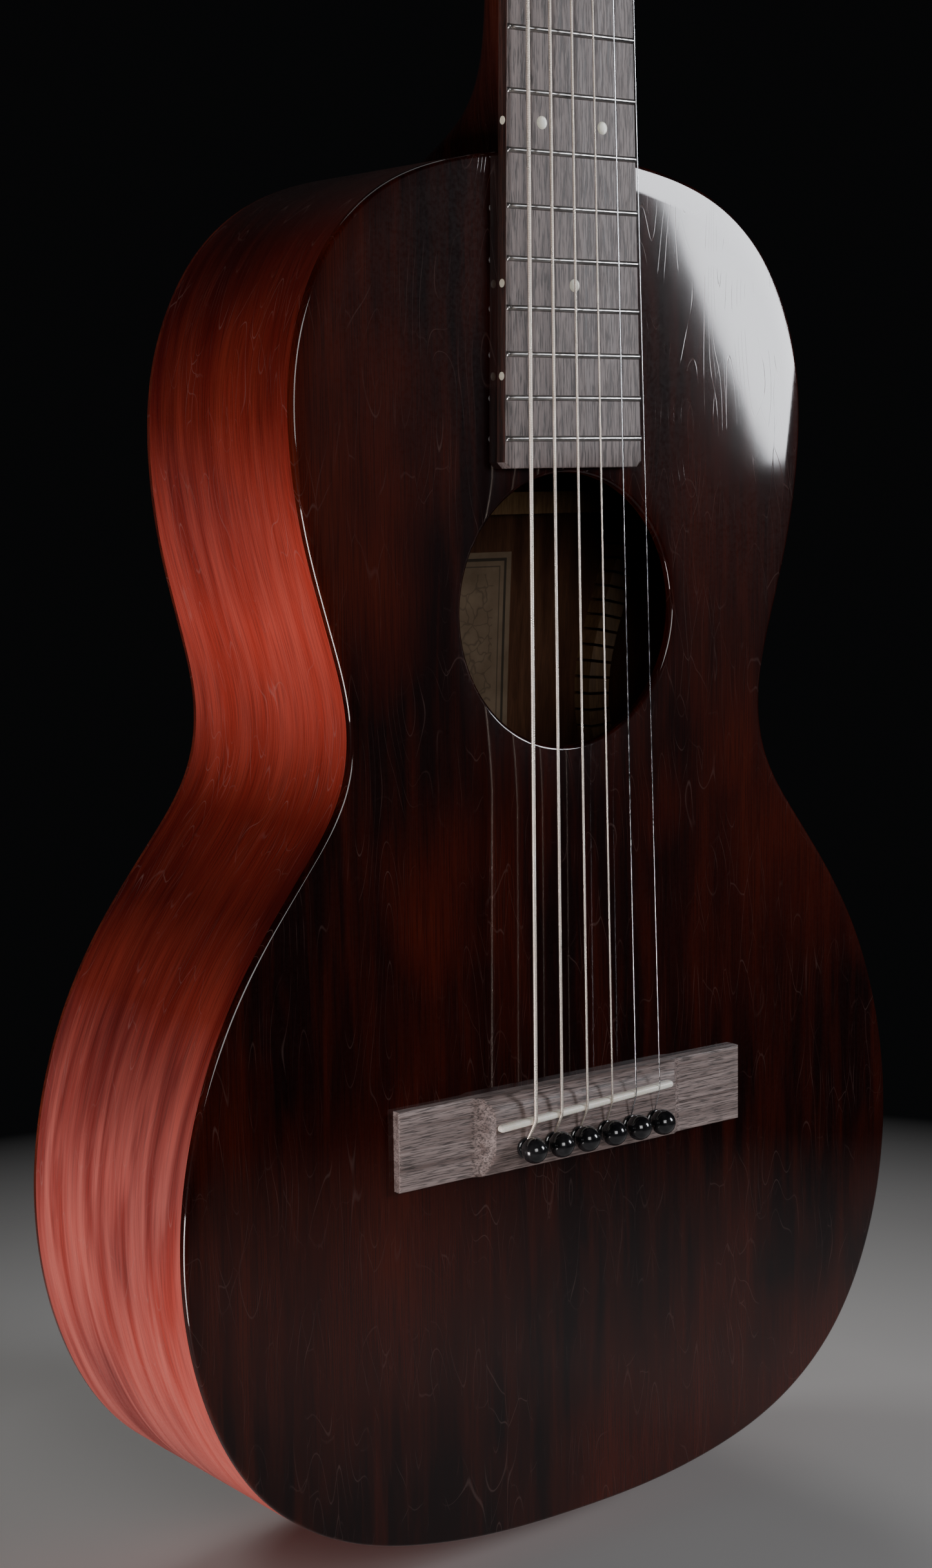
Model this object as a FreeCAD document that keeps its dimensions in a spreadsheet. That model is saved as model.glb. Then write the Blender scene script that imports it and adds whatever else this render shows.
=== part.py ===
"""Small-body acoustic guitar with a slotted head, modelled as its separate pieces.

Guitar frame: x towards the treble side, y from the soundboard's face towards the back,
z up the neck, with z = 0 at the nominal end of the scale under the saddle.
Every piece is then placed by ROW, which puts the origin at the bottom centre of the whole
instrument with +Z up the neck and the soundboard facing -Y.
"""
import FreeCAD, Part
import math
import os

Vector = FreeCAD.Vector
Rotation = FreeCAD.Rotation
Placement = FreeCAD.Placement

doc = FreeCAD.newDocument("acoustic_guitar")
sheet = doc.addObject("Spreadsheet::Sheet", "Sizes")

# ---------------------------------------------------------------- driving sizes, mm and degrees
SIZES = [
    ("scale_length", 622.3, "nut to nominal saddle line"),
    ("joint_up", 311.15, "body joint at the twelfth fret, half the scale"),
    ("tail_down", 149.4, "tail of the body below the saddle line"),
    ("top_thick", 2.8, "soundboard"),
    ("side_thick", 2.0, "bent sides"),
    ("back_thick", 2.6, "back plate"),
    ("dome_radius", 3300, "spherical arch of the back"),
    ("dome_depth", 102, "deepest point of the back behind the soundboard's face"),
    ("dome_down", 60, "that point's distance below the saddle line"),
    ("hole_radius", 45.4, "sound hole"),
    ("hole_across", 0.9, "sound hole centre to the treble side of the middle line"),
    ("hole_up", 163.5, "sound hole centre above the saddle line"),
    ("neck_block_half", 30, "half the neck block's width"),
    ("neck_block_long", 48, "neck block down from the joint"),
    ("tail_block_half", 32, "half the tail block's width"),
    ("tail_block_long", 20, "tail block up from the tail"),
    ("lining_wide", 6, "kerfed lining across the joint"),
    ("lining_tall", 13, "kerfed lining along the side"),
    ("brace_wide", 8, "main braces"),
    ("brace_tall", 13, "main braces"),
    ("board_thick", 4.4, "fingerboard"),
    ("board_down", 210.5, "lower end of the fingerboard above the saddle line"),
    ("board_half_nut", 21.5, "half the fingerboard at the nut"),
    ("board_half_end", 29.1, "half the fingerboard at its lower end"),
    ("fret_wide", 1.9, "fret crown"),
    ("fret_tall", 1.1, "fret crown"),
    ("fret_count", 18, "frets"),
    ("dot_radius", 2.1, "inlaid dots of the fingerboard's face"),
    ("dot_thick", 1.2, "the same dots"),
    ("side_dot_radius", 1.35, "dots in the fingerboard's bass edge"),
    ("side_dot_long", 3.0, "the same dots"),
    ("nut_long", 5, "nut along the neck"),
    ("nut_tall", 6.9, "nut above the neck's flat"),
    ("nut_clear", 1.45, "underside of the strings above the fingerboard at the nut"),
    ("bridge_half", 74.8, "half the bridge"),
    ("bridge_up", 5.4, "bridge edge above the saddle line"),
    ("bridge_long", 26.7, "bridge along the strings"),
    ("wing_tall", 3.3, "bridge wings"),
    ("bridge_tall", 8.8, "bridge middle"),
    ("saddle_thick", 2.5, "saddle"),
    ("saddle_half", 38, "half the saddle"),
    ("saddle_tall", 10.9, "saddle crown above the soundboard"),
    ("pin_ball", 4.4, "bridge pin head radius"),
    ("pin_collar", 3.6, "bridge pin collar radius"),
    ("pin_collar_tall", 1.2, "bridge pin collar"),
    ("pin_hole", 2.65, "radius of the bridge pin holes"),
    ("pin_tip", 2.1, "bridge pin radius at its tapered end"),
    ("pin_long", 21, "bridge pin shank"),
    ("pin_down", 13.1, "bridge pin row below the saddle line"),
    ("head_tilt", 14, "head angle behind the neck"),
    ("head_half", 28.5, "half the head"),
    ("head_long", 172, "head from the nut to its top"),
    ("head_thick", 21, "head with its veneer"),
    ("veneer_thick", 1.8, "head veneer"),
    ("slot_inner", 6, "head slot, edge nearer the middle"),
    ("slot_outer", 20.5, "head slot, outer edge"),
    ("slot_low", 30, "head slot, lower end from the nut"),
    ("slot_high", 142, "head slot, upper end from the nut"),
    ("roller_radius", 3.15, "string roller"),
    ("roller_first", 50, "first roller from the nut"),
    ("roller_step", 35, "between rollers"),
    ("roller_deep", 11, "roller axis behind the head's face"),
    ("tooth_module", 0.8, "gear module"),
    ("tooth_count", 14, "gear teeth, so fourteen turns of the button turn the roller once"),
    ("worm_pitch_radius", 2.5, "worm"),
    ("mesh_extra", 0.05, "added to the worm and gear centre distance"),
    ("plate_thick", 1.2, "tuner plate"),
    ("ear_thick", 1.3, "ears that carry the worm shafts"),
    ("ear_radius", 3.2, "rounded end of each ear"),
    ("screw_shank", 1.2, "plate screw radius"),
    ("ball_radius", 1.9, "ball end of a string"),
    ("ball_long", 3.2, "ball end of a string"),
    ("end_pin_out", 13.5, "end pin beyond the tail"),
    ("end_pin_head", 6.5, "end pin head radius"),
]
for line, (alias, number, note) in enumerate(SIZES, start=1):
    sheet.set("A%d" % line, note)
    sheet.set("B%d" % line, str(number))
    sheet.setAlias("B%d" % line, alias)
doc.recompute()


def size(alias):
    """Value of one driving size, as a plain number."""
    return float(sheet.get(alias))


JOINT = size("joint_up")
SCALE = size("scale_length")
TOP = size("top_thick")
TAIL = -size("tail_down")
NUT_TOP = SCALE + size("nut_long")
FAR = 400.0                     # longer than any reach of a cutting block
BEYOND = 130.0                  # deeper than the back

# the whole instrument's depth runs from the bridge pins' heads to the back's deepest point
COLLAR_TALL = size("pin_collar_tall")
BALL_SUNK = 0.9                 # how far a bridge pin's ball is merged into its collar
PIN_HEAD_FRONT = size("bridge_tall") + COLLAR_TALL + 2 * size("pin_ball") - BALL_SUNK
ROW_SHIFT = Vector(0, -(size("dome_depth") - PIN_HEAD_FRONT) / 2, size("tail_down") + size("end_pin_out"))
ROW = Placement(ROW_SHIFT, Rotation())

# the head's own frame: origin where the head's face meets the nut, z up the face, y into the wood
HEAD_TURN = Placement(Vector(0, 0, NUT_TOP), Rotation(Vector(1, 0, 0), -size("head_tilt")))
HEAD = ROW * HEAD_TURN

# strings from the lowest to the highest: name, wire radius, x at the nut, x at the saddle,
# x of its bridge pin, and the tuner it winds on (side, place from the nut)
STRINGS = [
    ("string_6_low_e", 0.66, -19.0, -25.0, -27.3, (-1, 0)),
    ("string_5_a", 0.53, -11.6, -13.7, -15.7, (-1, 1)),
    ("string_4_d", 0.41, -4.2, -2.4, -4.4, (-1, 2)),
    ("string_3_g", 0.30, 3.3, 8.7, 7.4, (1, 2)),
    ("string_2_b", 0.20, 10.7, 19.5, 18.6, (1, 1)),
    ("string_1_high_e", 0.15, 18.1, 30.3, 29.5, (1, 0)),
]
SADDLE_LOW_END = (-38.8, -4.9)      # x and z of the saddle's bass end, compensated
SADDLE_HIGH_END = (37.2, -1.4)      # and of its treble end

nodes = []


def keep(item, label):
    """Marks a finished piece: its label is its node name and its file name."""
    item.Label = label
    nodes.append(item)
    return item


def at(x, y, z, rotation=None):
    return Placement(Vector(x, y, z), rotation or Rotation())


ALONG_X = Rotation(Vector(0, 1, 0), 90)
AGAINST_X = Rotation(Vector(0, 1, 0), -90)
ALONG_Y = Rotation(Vector(1, 0, 0), -90)


def primitive(kind, name, place, frame=ROW, **bound):
    """Part primitive whose sizes are bound to expressions of the sheet."""
    item = doc.addObject(kind, name)
    item.Placement = frame * place
    for prop, expression in bound.items():
        item.setExpression(prop, str(expression))
    return item


def outward(side, x, y, z):
    """Start of a round piece lying along x, pointing away from the middle line on either side."""
    return at(side * x, y, z, ALONG_X if side > 0 else AGAINST_X)


def box_at(name, side, x0, x1, y0, y1, z0, z1, frame=ROW):
    """Box between two distances from the middle line, on the treble or on the bass side."""
    start = x0 if side > 0 else -x1
    return primitive("Part::Box", name, at(start, y0, z0), frame,
                     Length=x1 - x0, Width=y1 - y0, Height=z1 - z0)


def fused(name, *items):
    item = doc.addObject("Part::MultiFuse", name)
    item.Shapes = list(items)
    return item


def grouped(name, items):
    item = doc.addObject("Part::Compound", name)
    item.Links = list(items)
    return item


def less(name, base, *tools):
    """Base with one or more tools cut out of it."""
    item = doc.addObject("Part::Cut", name)
    item.Base = base
    item.Tool = tools[0] if len(tools) == 1 else grouped(name + "_tools", tools)
    return item


def feature(name, shape, place=ROW):
    """Piece built by Part's own functions in the guitar frame or, with place, in the head's."""
    item = doc.addObject("Part::Feature", name)
    item.Shape = shape
    item.Placement = place.multiply(shape.Placement)
    return item


def new_body(label, place=ROW):
    body = doc.addObject("PartDesign::Body", label)
    body.Placement = place
    return body


def sketch_on(body, role, name, offset=0.0):
    """Sketch attached to one of its body's own origin planes."""
    plane = [o for o in body.Origin.OriginFeatures if o.Role == role][0]
    sketch = body.newObject("Sketcher::SketchObject", name)
    sketch.AttachmentSupport = [(plane, "")]
    sketch.MapMode = "FlatFace"
    sketch.AttachmentOffset = at(0, 0, offset)
    return sketch


def polygon(sketch, points):
    """Closed run of straight lines through the points."""
    corners = [Vector(x, y, 0) for x, y in points]
    for start, end in zip(corners, corners[1:] + corners[:1]):
        sketch.addGeometry(Part.LineSegment(start, end))


def pad(body, sketch, name, length, reverse=False, middle=False):
    item = body.newObject("PartDesign::Pad", name)
    item.Profile = sketch
    item.setExpression("Length", str(length))
    item.Reversed = reverse
    item.Midplane = middle
    return item


def pocket(body, sketch, name, length, reverse=False, through=False):
    item = body.newObject("PartDesign::Pocket", name)
    item.Profile = sketch
    if through:
        item.Type = "ThroughAll"
        item.Midplane = True
    else:
        item.setExpression("Length", str(length))
        item.Reversed = reverse
    return item


# ---------------------------------------------------------------- body outline
# half-widths at stations down the body, from the flat at the neck joint round both bouts to the
# middle of the tail
FLAT_HALF = 26.0
OUTLINE = [
    (FLAT_HALF, JOINT), (50, 306.8), (72, 298.2), (90, 283), (101.5, 263), (107.3, 240), (107.6, 218),
    (102.8, 187), (93.5, 155), (88.4, 131), (91.2, 110), (104, 89), (121, 67), (137.5, 40), (149, 8),
    (153.8, -26), (152.4, -52), (144.2, -83), (126.5, -112.5), (98, -133.5), (64, -144.2),
    (30, -148.6), (0, TAIL),
]
INSET_STEPS = 3                 # points per station on the inset curves


def outline_curve(inset=0.0):
    """Outline from the flat's treble end round the tail to its bass end, moved inwards by inset."""
    points = [Vector(x, 0, z) for x, z in OUTLINE]
    points += [Vector(-x, 0, z) for x, z in reversed(OUTLINE[:-1])]
    curve = Part.BSplineCurve()
    curve.interpolate(points)
    if not inset:
        return curve
    moved = []
    steps = INSET_STEPS * (len(points) - 1)
    first = curve.FirstParameter
    span = curve.LastParameter - first
    for step in range(steps + 1):
        here = first + span * step / steps
        along = curve.tangent(here)[0]
        moved.append(curve.value(here) + Vector(along.z, 0, -along.x).normalize() * inset)
    inner = Part.BSplineCurve()
    inner.interpolate(moved)
    return inner


def outline_face(inset=0.0):
    curve = outline_curve(inset)
    start = curve.value(curve.FirstParameter)
    end = curve.value(curve.LastParameter)
    return Part.Face(Part.Wire([curve.toShape(), Part.makeLine(end, start)]))


def body_prism(inset, front, back):
    """Solid with the body's outline, from y = front to y = back."""
    shape = outline_face(inset).extrude(Vector(0, back - front, 0))
    shape.translate(Vector(0, front, 0))
    return shape


def dome(shrink=0.0):
    """Ball whose surface is the back's outer face, or a face further in by shrink."""
    radius = size("dome_radius")
    return Part.makeSphere(radius - shrink, Vector(0, size("dome_depth") - radius, -size("dome_down")))


def block(x0, x1, y0, y1, z0, z1):
    return Part.makeBox(x1 - x0, y1 - y0, z1 - z0, Vector(x0, y0, z0))


def turned_bar(long, wide, tall, centre, degrees, front):
    """Bar lying in an x-z plane, its length turned by degrees from z towards x."""
    bar = Part.makeBox(wide, tall, long, Vector(-wide / 2, 0, -long / 2))
    bar.rotate(Vector(), Vector(0, 1, 0), degrees)
    bar.translate(Vector(centre[0], front, centre[1]))
    return bar


# ---------------------------------------------------------------- neck dovetail
DOVETAIL_DEEP = 17.0
DOVETAIL_LOW = 70.0
DOVETAIL_NEAR = 9.0             # half its width at the joint
DOVETAIL_WIDE = 12.5            # half its width inside the block
DOVETAIL_ABOVE = 0.5            # how far it runs up into the heel


def dovetail(grow=0.0):
    """Tongue of the neck inside the neck block, wider at its far end."""
    near = DOVETAIL_NEAR + grow
    wide = DOVETAIL_WIDE + grow
    above = JOINT + DOVETAIL_ABOVE
    corners = [
        Vector(-near, 0, above), Vector(near, 0, above),
        Vector(wide, 0, JOINT - DOVETAIL_DEEP - grow), Vector(-wide, 0, JOINT - DOVETAIL_DEEP - grow),
    ]
    face = Part.Face(Part.makePolygon(corners + corners[:1]))
    return face.extrude(Vector(0, DOVETAIL_LOW + grow, 0))


# ---------------------------------------------------------------- soundboard
def pin_place(index):
    """Middle of a bridge pin's hole."""
    return Vector(STRINGS[index][4], 0, -size("pin_down"))


PIN_HOLE = size("pin_hole")


def make_soundboard():
    body = new_body("soundboard")
    plate = sketch_on(body, "XZ_Plane", "soundboard_outline")
    rim = outline_curve()
    rim.rotate(Placement(Vector(), Rotation(Vector(1, 0, 0), -90)))
    plate.addGeometry(rim)
    plate.addGeometry(Part.LineSegment(Vector(-FLAT_HALF, JOINT, 0), Vector(FLAT_HALF, JOINT, 0)))
    pad(body, plate, "soundboard_plate", "Sizes.top_thick", reverse=True)
    holes = sketch_on(body, "XZ_Plane", "soundboard_holes")
    up = Vector(0, 0, 1)
    middle = Vector(size("hole_across"), size("hole_up"), 0)
    holes.addGeometry(Part.Circle(middle, up, size("hole_radius")))
    for index in range(len(STRINGS)):
        spot = pin_place(index)
        holes.addGeometry(Part.Circle(Vector(spot.x, spot.z, 0), up, PIN_HOLE))
    pocket(body, holes, "soundboard_openings", None, through=True)
    notch = sketch_on(body, "XZ_Plane", "soundboard_dovetail")
    low = JOINT - DOVETAIL_DEEP
    above = JOINT + DOVETAIL_ABOVE
    near = DOVETAIL_NEAR
    wide = DOVETAIL_WIDE
    polygon(notch, [(-near, above), (near, above), (wide, low), (-wide, low)])
    pocket(body, notch, "soundboard_notch", None, through=True)
    return keep(body, "soundboard")


# ---------------------------------------------------------------- back, sides, blocks, linings
def make_shell():
    inside = dome(size("back_thick"))
    back = body_prism(0, TOP + 40, BEYOND - 10).common(dome()).cut(inside)
    keep(feature("back_plate", back), "back")

    ring = body_prism(0, TOP, BEYOND).cut(body_prism(size("side_thick"), 0, BEYOND + 1)).common(inside)
    bore = Part.makeCylinder(END_PIN_SHANK, 40, Vector(0, END_PIN_Y, TAIL - 10), Vector(0, 0, 1))
    ring = ring.cut(dovetail()).cut(bore)
    for label, x0 in (("bass_side", -FAR), ("treble_side", 0)):
        keep(feature(label + "_strip", ring.common(block(x0, x0 + FAR, 0, BEYOND, -FAR, FAR))), label)

    room = body_prism(size("side_thick"), TOP, BEYOND).common(inside)
    half = size("neck_block_half")
    low = JOINT - size("neck_block_long")
    neck_block = room.common(block(-half, half, 0, BEYOND, low, JOINT)).cut(dovetail())
    keep(feature("neck_block_wood", neck_block), "neck_block")
    half = size("tail_block_half")
    high = TAIL + size("tail_block_long")
    tail_block = room.common(block(-half, half, 0, BEYOND, TAIL, high))
    keep(feature("tail_block_wood", tail_block.cut(bore)), "tail_block")

    # kerfed linings: a strip along each edge of each side, between the two blocks
    outer = outline_face(size("side_thick"))
    strip = outer.cut(outline_face(size("side_thick") + size("lining_wide")))
    strip = strip.extrude(Vector(0, BEYOND, 0))
    clear = max(size("neck_block_half"), size("tail_block_half")) + 2
    for block_low, block_high in ((low, JOINT), (TAIL, high)):
        strip = strip.cut(block(-clear, clear, -1, BEYOND + 1, block_low, block_high))
    tall = size("lining_tall")
    front = strip.common(block(-FAR, FAR, TOP, TOP + tall, -FAR, FAR))
    rear = strip.common(inside).cut(dome(size("back_thick") + tall))
    keep(feature("kerfed_lining_strips", Part.makeCompound(front.Solids + rear.Solids)), "kerfed_linings")


# ---------------------------------------------------------------- braces inside the top and back
X_CROSS = (0.0, 70.0)
X_ANGLE = 43.0
BRACE_LONG = 420.0              # longer than any brace before it is trimmed to the body
LAP_LONG = 60.0
PLATE_LONG = 150.0              # bridge plate across the grain
PLATE_TALL = 2.4
PLATE_DOWN = -27.0              # its lower and upper edges
PLATE_UP = 10.0
TONE_BARS = ((-2, -62), (14, -104))     # middle of each tone bar, x and z
TONE_ANGLE = 66.0
UPPER_BAR = (224, 234)                  # lower and upper edge of the bar above the sound hole
BACK_BARS = ((250, 11), (198, 11), (60, 9), (-48, 9))       # height and thickness of each back bar
BACK_BAR_HALF = 4.0
STRIP_HALF = 9.0                        # half the strip along the back's seam
STRIP_TALL = 2.2
BACK_FROM = 20.0                        # anywhere between the two plates


def inside_room():
    """Space between the plates and inside the linings."""
    clear = size("side_thick") + size("lining_wide") + 0.3
    return body_prism(clear, TOP, BEYOND).common(dome(size("back_thick")))


def make_braces():
    room = inside_room()
    wide = size("brace_wide")
    tall = size("brace_tall")
    plate = block(-PLATE_LONG / 2, PLATE_LONG / 2, TOP, TOP + PLATE_TALL, PLATE_DOWN, PLATE_UP)
    for index in range(len(STRINGS)):
        spot = pin_place(index)
        plate = plate.cut(Part.makeCylinder(PIN_HOLE, 10, Vector(spot.x, 0, spot.z), Vector(0, 1, 0)))

    # the two legs of the X are halved into each other where they cross
    legs = []
    for side in (-1, 1):
        leg = turned_bar(BRACE_LONG, wide, tall, X_CROSS, side * X_ANGLE, TOP)
        half = tall / 2
        lap = turned_bar(LAP_LONG, wide, half, X_CROSS, -side * X_ANGLE, TOP if side > 0 else TOP + half)
        legs.append(room.common(leg).cut(lap))
        plate = plate.cut(turned_bar(BRACE_LONG, wide, tall, X_CROSS, side * X_ANGLE, 0))
    middle = max(plate.Solids, key=lambda solid: solid.Volume)
    keep(feature("bridge_plate_wood", middle), "bridge_plate")
    keep(feature("x_brace_legs", Part.makeCompound([s for leg in legs for s in leg.Solids])), "x_braces")

    # tone bars below the bridge and short bars beside the hole and at the upper edge
    tone = []
    plate_room = block(-PLATE_LONG / 2, PLATE_LONG / 2, 0, BACK_FROM, PLATE_DOWN, PLATE_UP)
    for centre in TONE_BARS:
        bar = turned_bar(200, 6, 9, centre, TONE_ANGLE, TOP)
        bar = room.common(bar).cut(plate_room)
        for side in (-1, 1):
            bar = bar.cut(turned_bar(BRACE_LONG, wide + 1, tall + 1, X_CROSS, side * X_ANGLE, 0))
        tone.append(max(bar.Solids, key=lambda solid: solid.Volume))
    keep(feature("tone_bar_pair", Part.makeCompound(tone)), "tone_bars")

    short = [room.common(block(-FAR, FAR, TOP, TOP + 12, UPPER_BAR[0], UPPER_BAR[1]))]
    for side in (-1, 1):
        beside = turned_bar(58, 8, 4, (side * 56, 163), side * -8, TOP)
        finger = turned_bar(60, 6, 8, (side * 104, 18), side * 62, TOP)
        for bar in (beside, finger):
            bar = room.common(bar)
            for way in (-1, 1):
                bar = bar.cut(turned_bar(BRACE_LONG, wide + 1, tall + 1, X_CROSS, way * X_ANGLE, 0))
            short.append(max(bar.Solids, key=lambda solid: solid.Volume))
    solids = [solid for bar in short for solid in bar.Solids]
    keep(feature("short_top_bars", Part.makeCompound(solids)), "short_top_braces")

    # back: a centre strip along the seam and four bars over it
    shell = inside_room().cut(dome(size("back_thick") + STRIP_TALL))
    bars = []
    strip_low = TAIL + size("tail_block_long") + 2
    strip_high = JOINT - size("neck_block_long") - 2
    strip = shell.common(block(-STRIP_HALF, STRIP_HALF, BACK_FROM, BEYOND, strip_low, strip_high))
    for level, bar_tall in BACK_BARS:
        rim = inside_room().cut(dome(size("back_thick") + bar_tall))
        slab = block(-FAR, FAR, BACK_FROM, BEYOND, level - BACK_BAR_HALF, level + BACK_BAR_HALF)
        bars.extend(rim.common(slab).Solids)
        strip = strip.cut(slab)
    keep(feature("back_bars", Part.makeCompound(bars)), "back_braces")
    keep(feature("back_strip_pieces", Part.makeCompound(strip.Solids)), "back_centre_strip")

    label = block(LABEL[0], LABEL[1], BACK_FROM, BEYOND, LABEL[2], LABEL[3])
    label = label.common(dome(size("back_thick"))).cut(dome(size("back_thick") + PAPER_THICK))
    keep(feature("label_sheet", label), "label")


LABEL = (12, 48, 112, 180)      # paper label's edges in x and in z, on the back's inner face
PAPER_THICK = 0.3

# ---------------------------------------------------------------- end pin
END_PIN_Y = 48.0
END_PIN_SHANK = 4.0


def make_end_pin():
    """Turned pin: shank in the tail block, collar, groove for the strap and a round-edged head."""
    body = new_body("end_pin", ROW * at(0, END_PIN_Y, TAIL))
    profile = sketch_on(body, "XZ_Plane", "end_pin_profile")
    head = size("end_pin_head")
    out = size("end_pin_out")
    shank = END_PIN_SHANK - 0.02
    corners = [(0, 16), (shank, 16), (shank, 0), (head, 0), (head, -2.2), (4.2, -4.2), (4.2, -7.0),
               (head, -9.2), (head, -out + 1.5), (head - 1.8, -out), (0, -out)]
    polygon(profile, corners)
    turn = body.newObject("PartDesign::Revolution", "end_pin_turning")
    turn.Profile = profile
    turn.ReferenceAxis = (profile, ["V_Axis"])
    turn.Angle = 360
    return keep(body, "end_pin")


# ---------------------------------------------------------------- neck with heel and slotted head
def board_half(z):
    """Half-width of the fingerboard and of the neck at height z."""
    share = (SCALE - z) / (SCALE - size("board_down"))
    return size("board_half_nut") + share * (size("board_half_end") - size("board_half_nut"))


def neck_section(z, depth, shoulder, hollow, half=None):
    """Closed section of the neck in the plane at z: a flat front and a rounded back.

    shoulder and hollow are the shares of the half-width left at 45 and at 86 per cent of depth.
    """
    half = half or board_half(z)
    right = [(half, 0), (half * shoulder, depth * 0.45), (half * hollow, depth * 0.86)]
    points = right + [(0, depth)] + [(-x, y) for x, y in reversed(right)]
    curve = Part.BSplineCurve()
    curve.interpolate(Points=[Vector(x, y, z) for x, y in points])
    flat = Part.makeLine(Vector(-half, 0, z), Vector(half, 0, z))
    return Part.Wire([curve.toShape(), flat])


PLAIN_BACK = (0.93, 0.60)   # shoulder and hollow shares of the shaft
SHAFT_FROM = 66.0           # the heel starts this far above the joint
HEEL_STATIONS = [          # z above the joint, depth, shoulder and hollow shares
    (66, 19.6, 0.93, 0.60), (46, 21.0, 0.93, 0.60), (30, 26.5, 0.90, 0.57), (18, 39.0, 0.84, 0.50),
    (9, 58.0, 0.76, 0.45), (0, 79.0, 0.70, 0.42),
]


def head_outline(foot):
    """Edges of the head seen from the front, in its own frame, from z = foot to its top."""
    half = size("head_half")
    low = size("board_half_nut")
    high = size("head_long")
    edges = [Part.makeLine(Vector(-half, 0, high), Vector(half, 0, high)),
             Part.makeLine(Vector(-low, 0, foot), Vector(low, 0, foot))]
    for side in (1, -1):
        bend = Part.BezierCurve()
        bend.setPoles([Vector(side * low, 0, 0), Vector(side * low, 0, 8),
                       Vector(side * half, 0, 10), Vector(side * half, 0, 22)])
        edges.append(bend.toShape())
        edges.append(Part.makeLine(Vector(side * half, 0, 22), Vector(side * half, 0, high)))
        if foot < 0:
            edges.append(Part.makeLine(Vector(side * low, 0, foot), Vector(side * low, 0, 0)))
    return edges


def make_neck():
    shaft = Part.makeLoft([
        neck_section(JOINT + SHAFT_FROM, 19.6, *PLAIN_BACK),
        neck_section(500, 18.0, *PLAIN_BACK),
        neck_section(NUT_TOP, 16.8, *PLAIN_BACK, half=size("board_half_nut")),
    ], True, True)
    sections = [neck_section(JOINT + up, deep, a, b) for up, deep, a, b in HEEL_STATIONS]
    heel = Part.makeLoft(sections, True, False)
    wood = shaft.fuse([heel, dovetail()])

    # head blank in its own frame
    face = Part.Face(Part.Wire(Part.__sortEdges__(head_outline(-6.0))))
    veneer = size("veneer_thick")
    head = face.extrude(Vector(0, size("head_thick") - veneer, 0))
    head.translate(Vector(0, veneer, 0))
    for side in (-1, 1):
        for cutter in head_slot_tools(side):
            head = head.cut(cutter)
        for index in range(3):
            head = head.cut(roller_hole(side, index))
        for z in PLATE_SCREWS:
            start = Vector(side * (size("head_half") - 7.8), size("roller_deep"), z)
            head = head.cut(Part.makeCylinder(1.22, 9, start, Vector(side, 0, 0)))
    head.Placement = HEAD_TURN
    veneer_room = block(-FAR, FAR, -FAR, veneer, 0, FAR)
    veneer_room.Placement = HEAD_TURN
    wood = wood.fuse(head).cut(veneer_room).removeSplitter()
    return keep(feature("neck_wood", wood), "neck")


def head_slot_tools(side):
    """Through slot with round ends and the ramp that lets the strings down into it."""
    inner = side * size("slot_inner")
    outer = side * size("slot_outer")
    left = min(inner, outer)
    right = max(inner, outer)
    radius = (right - left) / 2
    low = size("slot_low")
    high = size("slot_high")
    middle = (left + right) / 2
    thick = size("head_thick") + 4
    slot = Part.makeBox(right - left, thick, high - low - 2 * radius, Vector(left, -2, low + radius))
    for end in (low + radius, high - radius):
        slot = slot.fuse(Part.makeCylinder(radius, thick, Vector(middle, -2, end), Vector(0, 1, 0)))
    ramp_start = low - 18
    corners = [Vector(left, -2, ramp_start - 6), Vector(left, 0, ramp_start),
               Vector(left, 6.5, low + radius), Vector(left, -2, low + radius)]
    ramp = Part.Face(Part.makePolygon(corners + corners[:1])).extrude(Vector(right - left, 0, 0))
    return [slot, ramp]


def roller_height(index):
    return size("roller_first") + index * size("roller_step")


PLATE_SCREWS = (34.0, 64.5, 99.5, 130.0)    # heights of each tuner plate's screws
RIB_BORE = 4.6          # how far each roller reaches into the head's middle rib
ROLLER_GAP = 0.06       # radial running clearance of the rollers


def roller_hole(side, index):
    start = size("slot_inner") - RIB_BORE - 0.3
    long = size("head_half") + 2 - start
    x0 = start if side > 0 else -start - long
    centre = Vector(x0, size("roller_deep"), roller_height(index))
    return Part.makeCylinder(size("roller_radius") + ROLLER_GAP, long, centre, Vector(1, 0, 0))


def make_head_veneer():
    """Thin sheet on the head's face, open over both slots and over their ramps."""
    veneer = size("veneer_thick")
    sheet_shape = Part.Face(Part.Wire(Part.__sortEdges__(head_outline(0)))).extrude(Vector(0, veneer, 0))
    for side in (-1, 1):
        for cutter in head_slot_tools(side):
            sheet_shape = sheet_shape.cut(cutter)
    return keep(feature("head_veneer_sheet", sheet_shape, HEAD), "head_veneer")


# ---------------------------------------------------------------- fingerboard, frets and markers
FRET_SLOT_DEEP = 2.2
FRET_SLOT_WIDE = 0.56
FACE_DOTS = [(5, 0), (7, 0), (9, 0), (12, -12.7), (12, 12.7), (15, 0.4)]     # fret and x
SIDE_DOTS = [5, 7, 9, 12, 15, 17]


def fret_z(number):
    """Height of a fret: each one shortens the string by a twelfth root of two."""
    return SCALE * 2 ** (-number / 12)


def dot_z(number):
    return (fret_z(number) + fret_z(number - 1)) / 2


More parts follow.
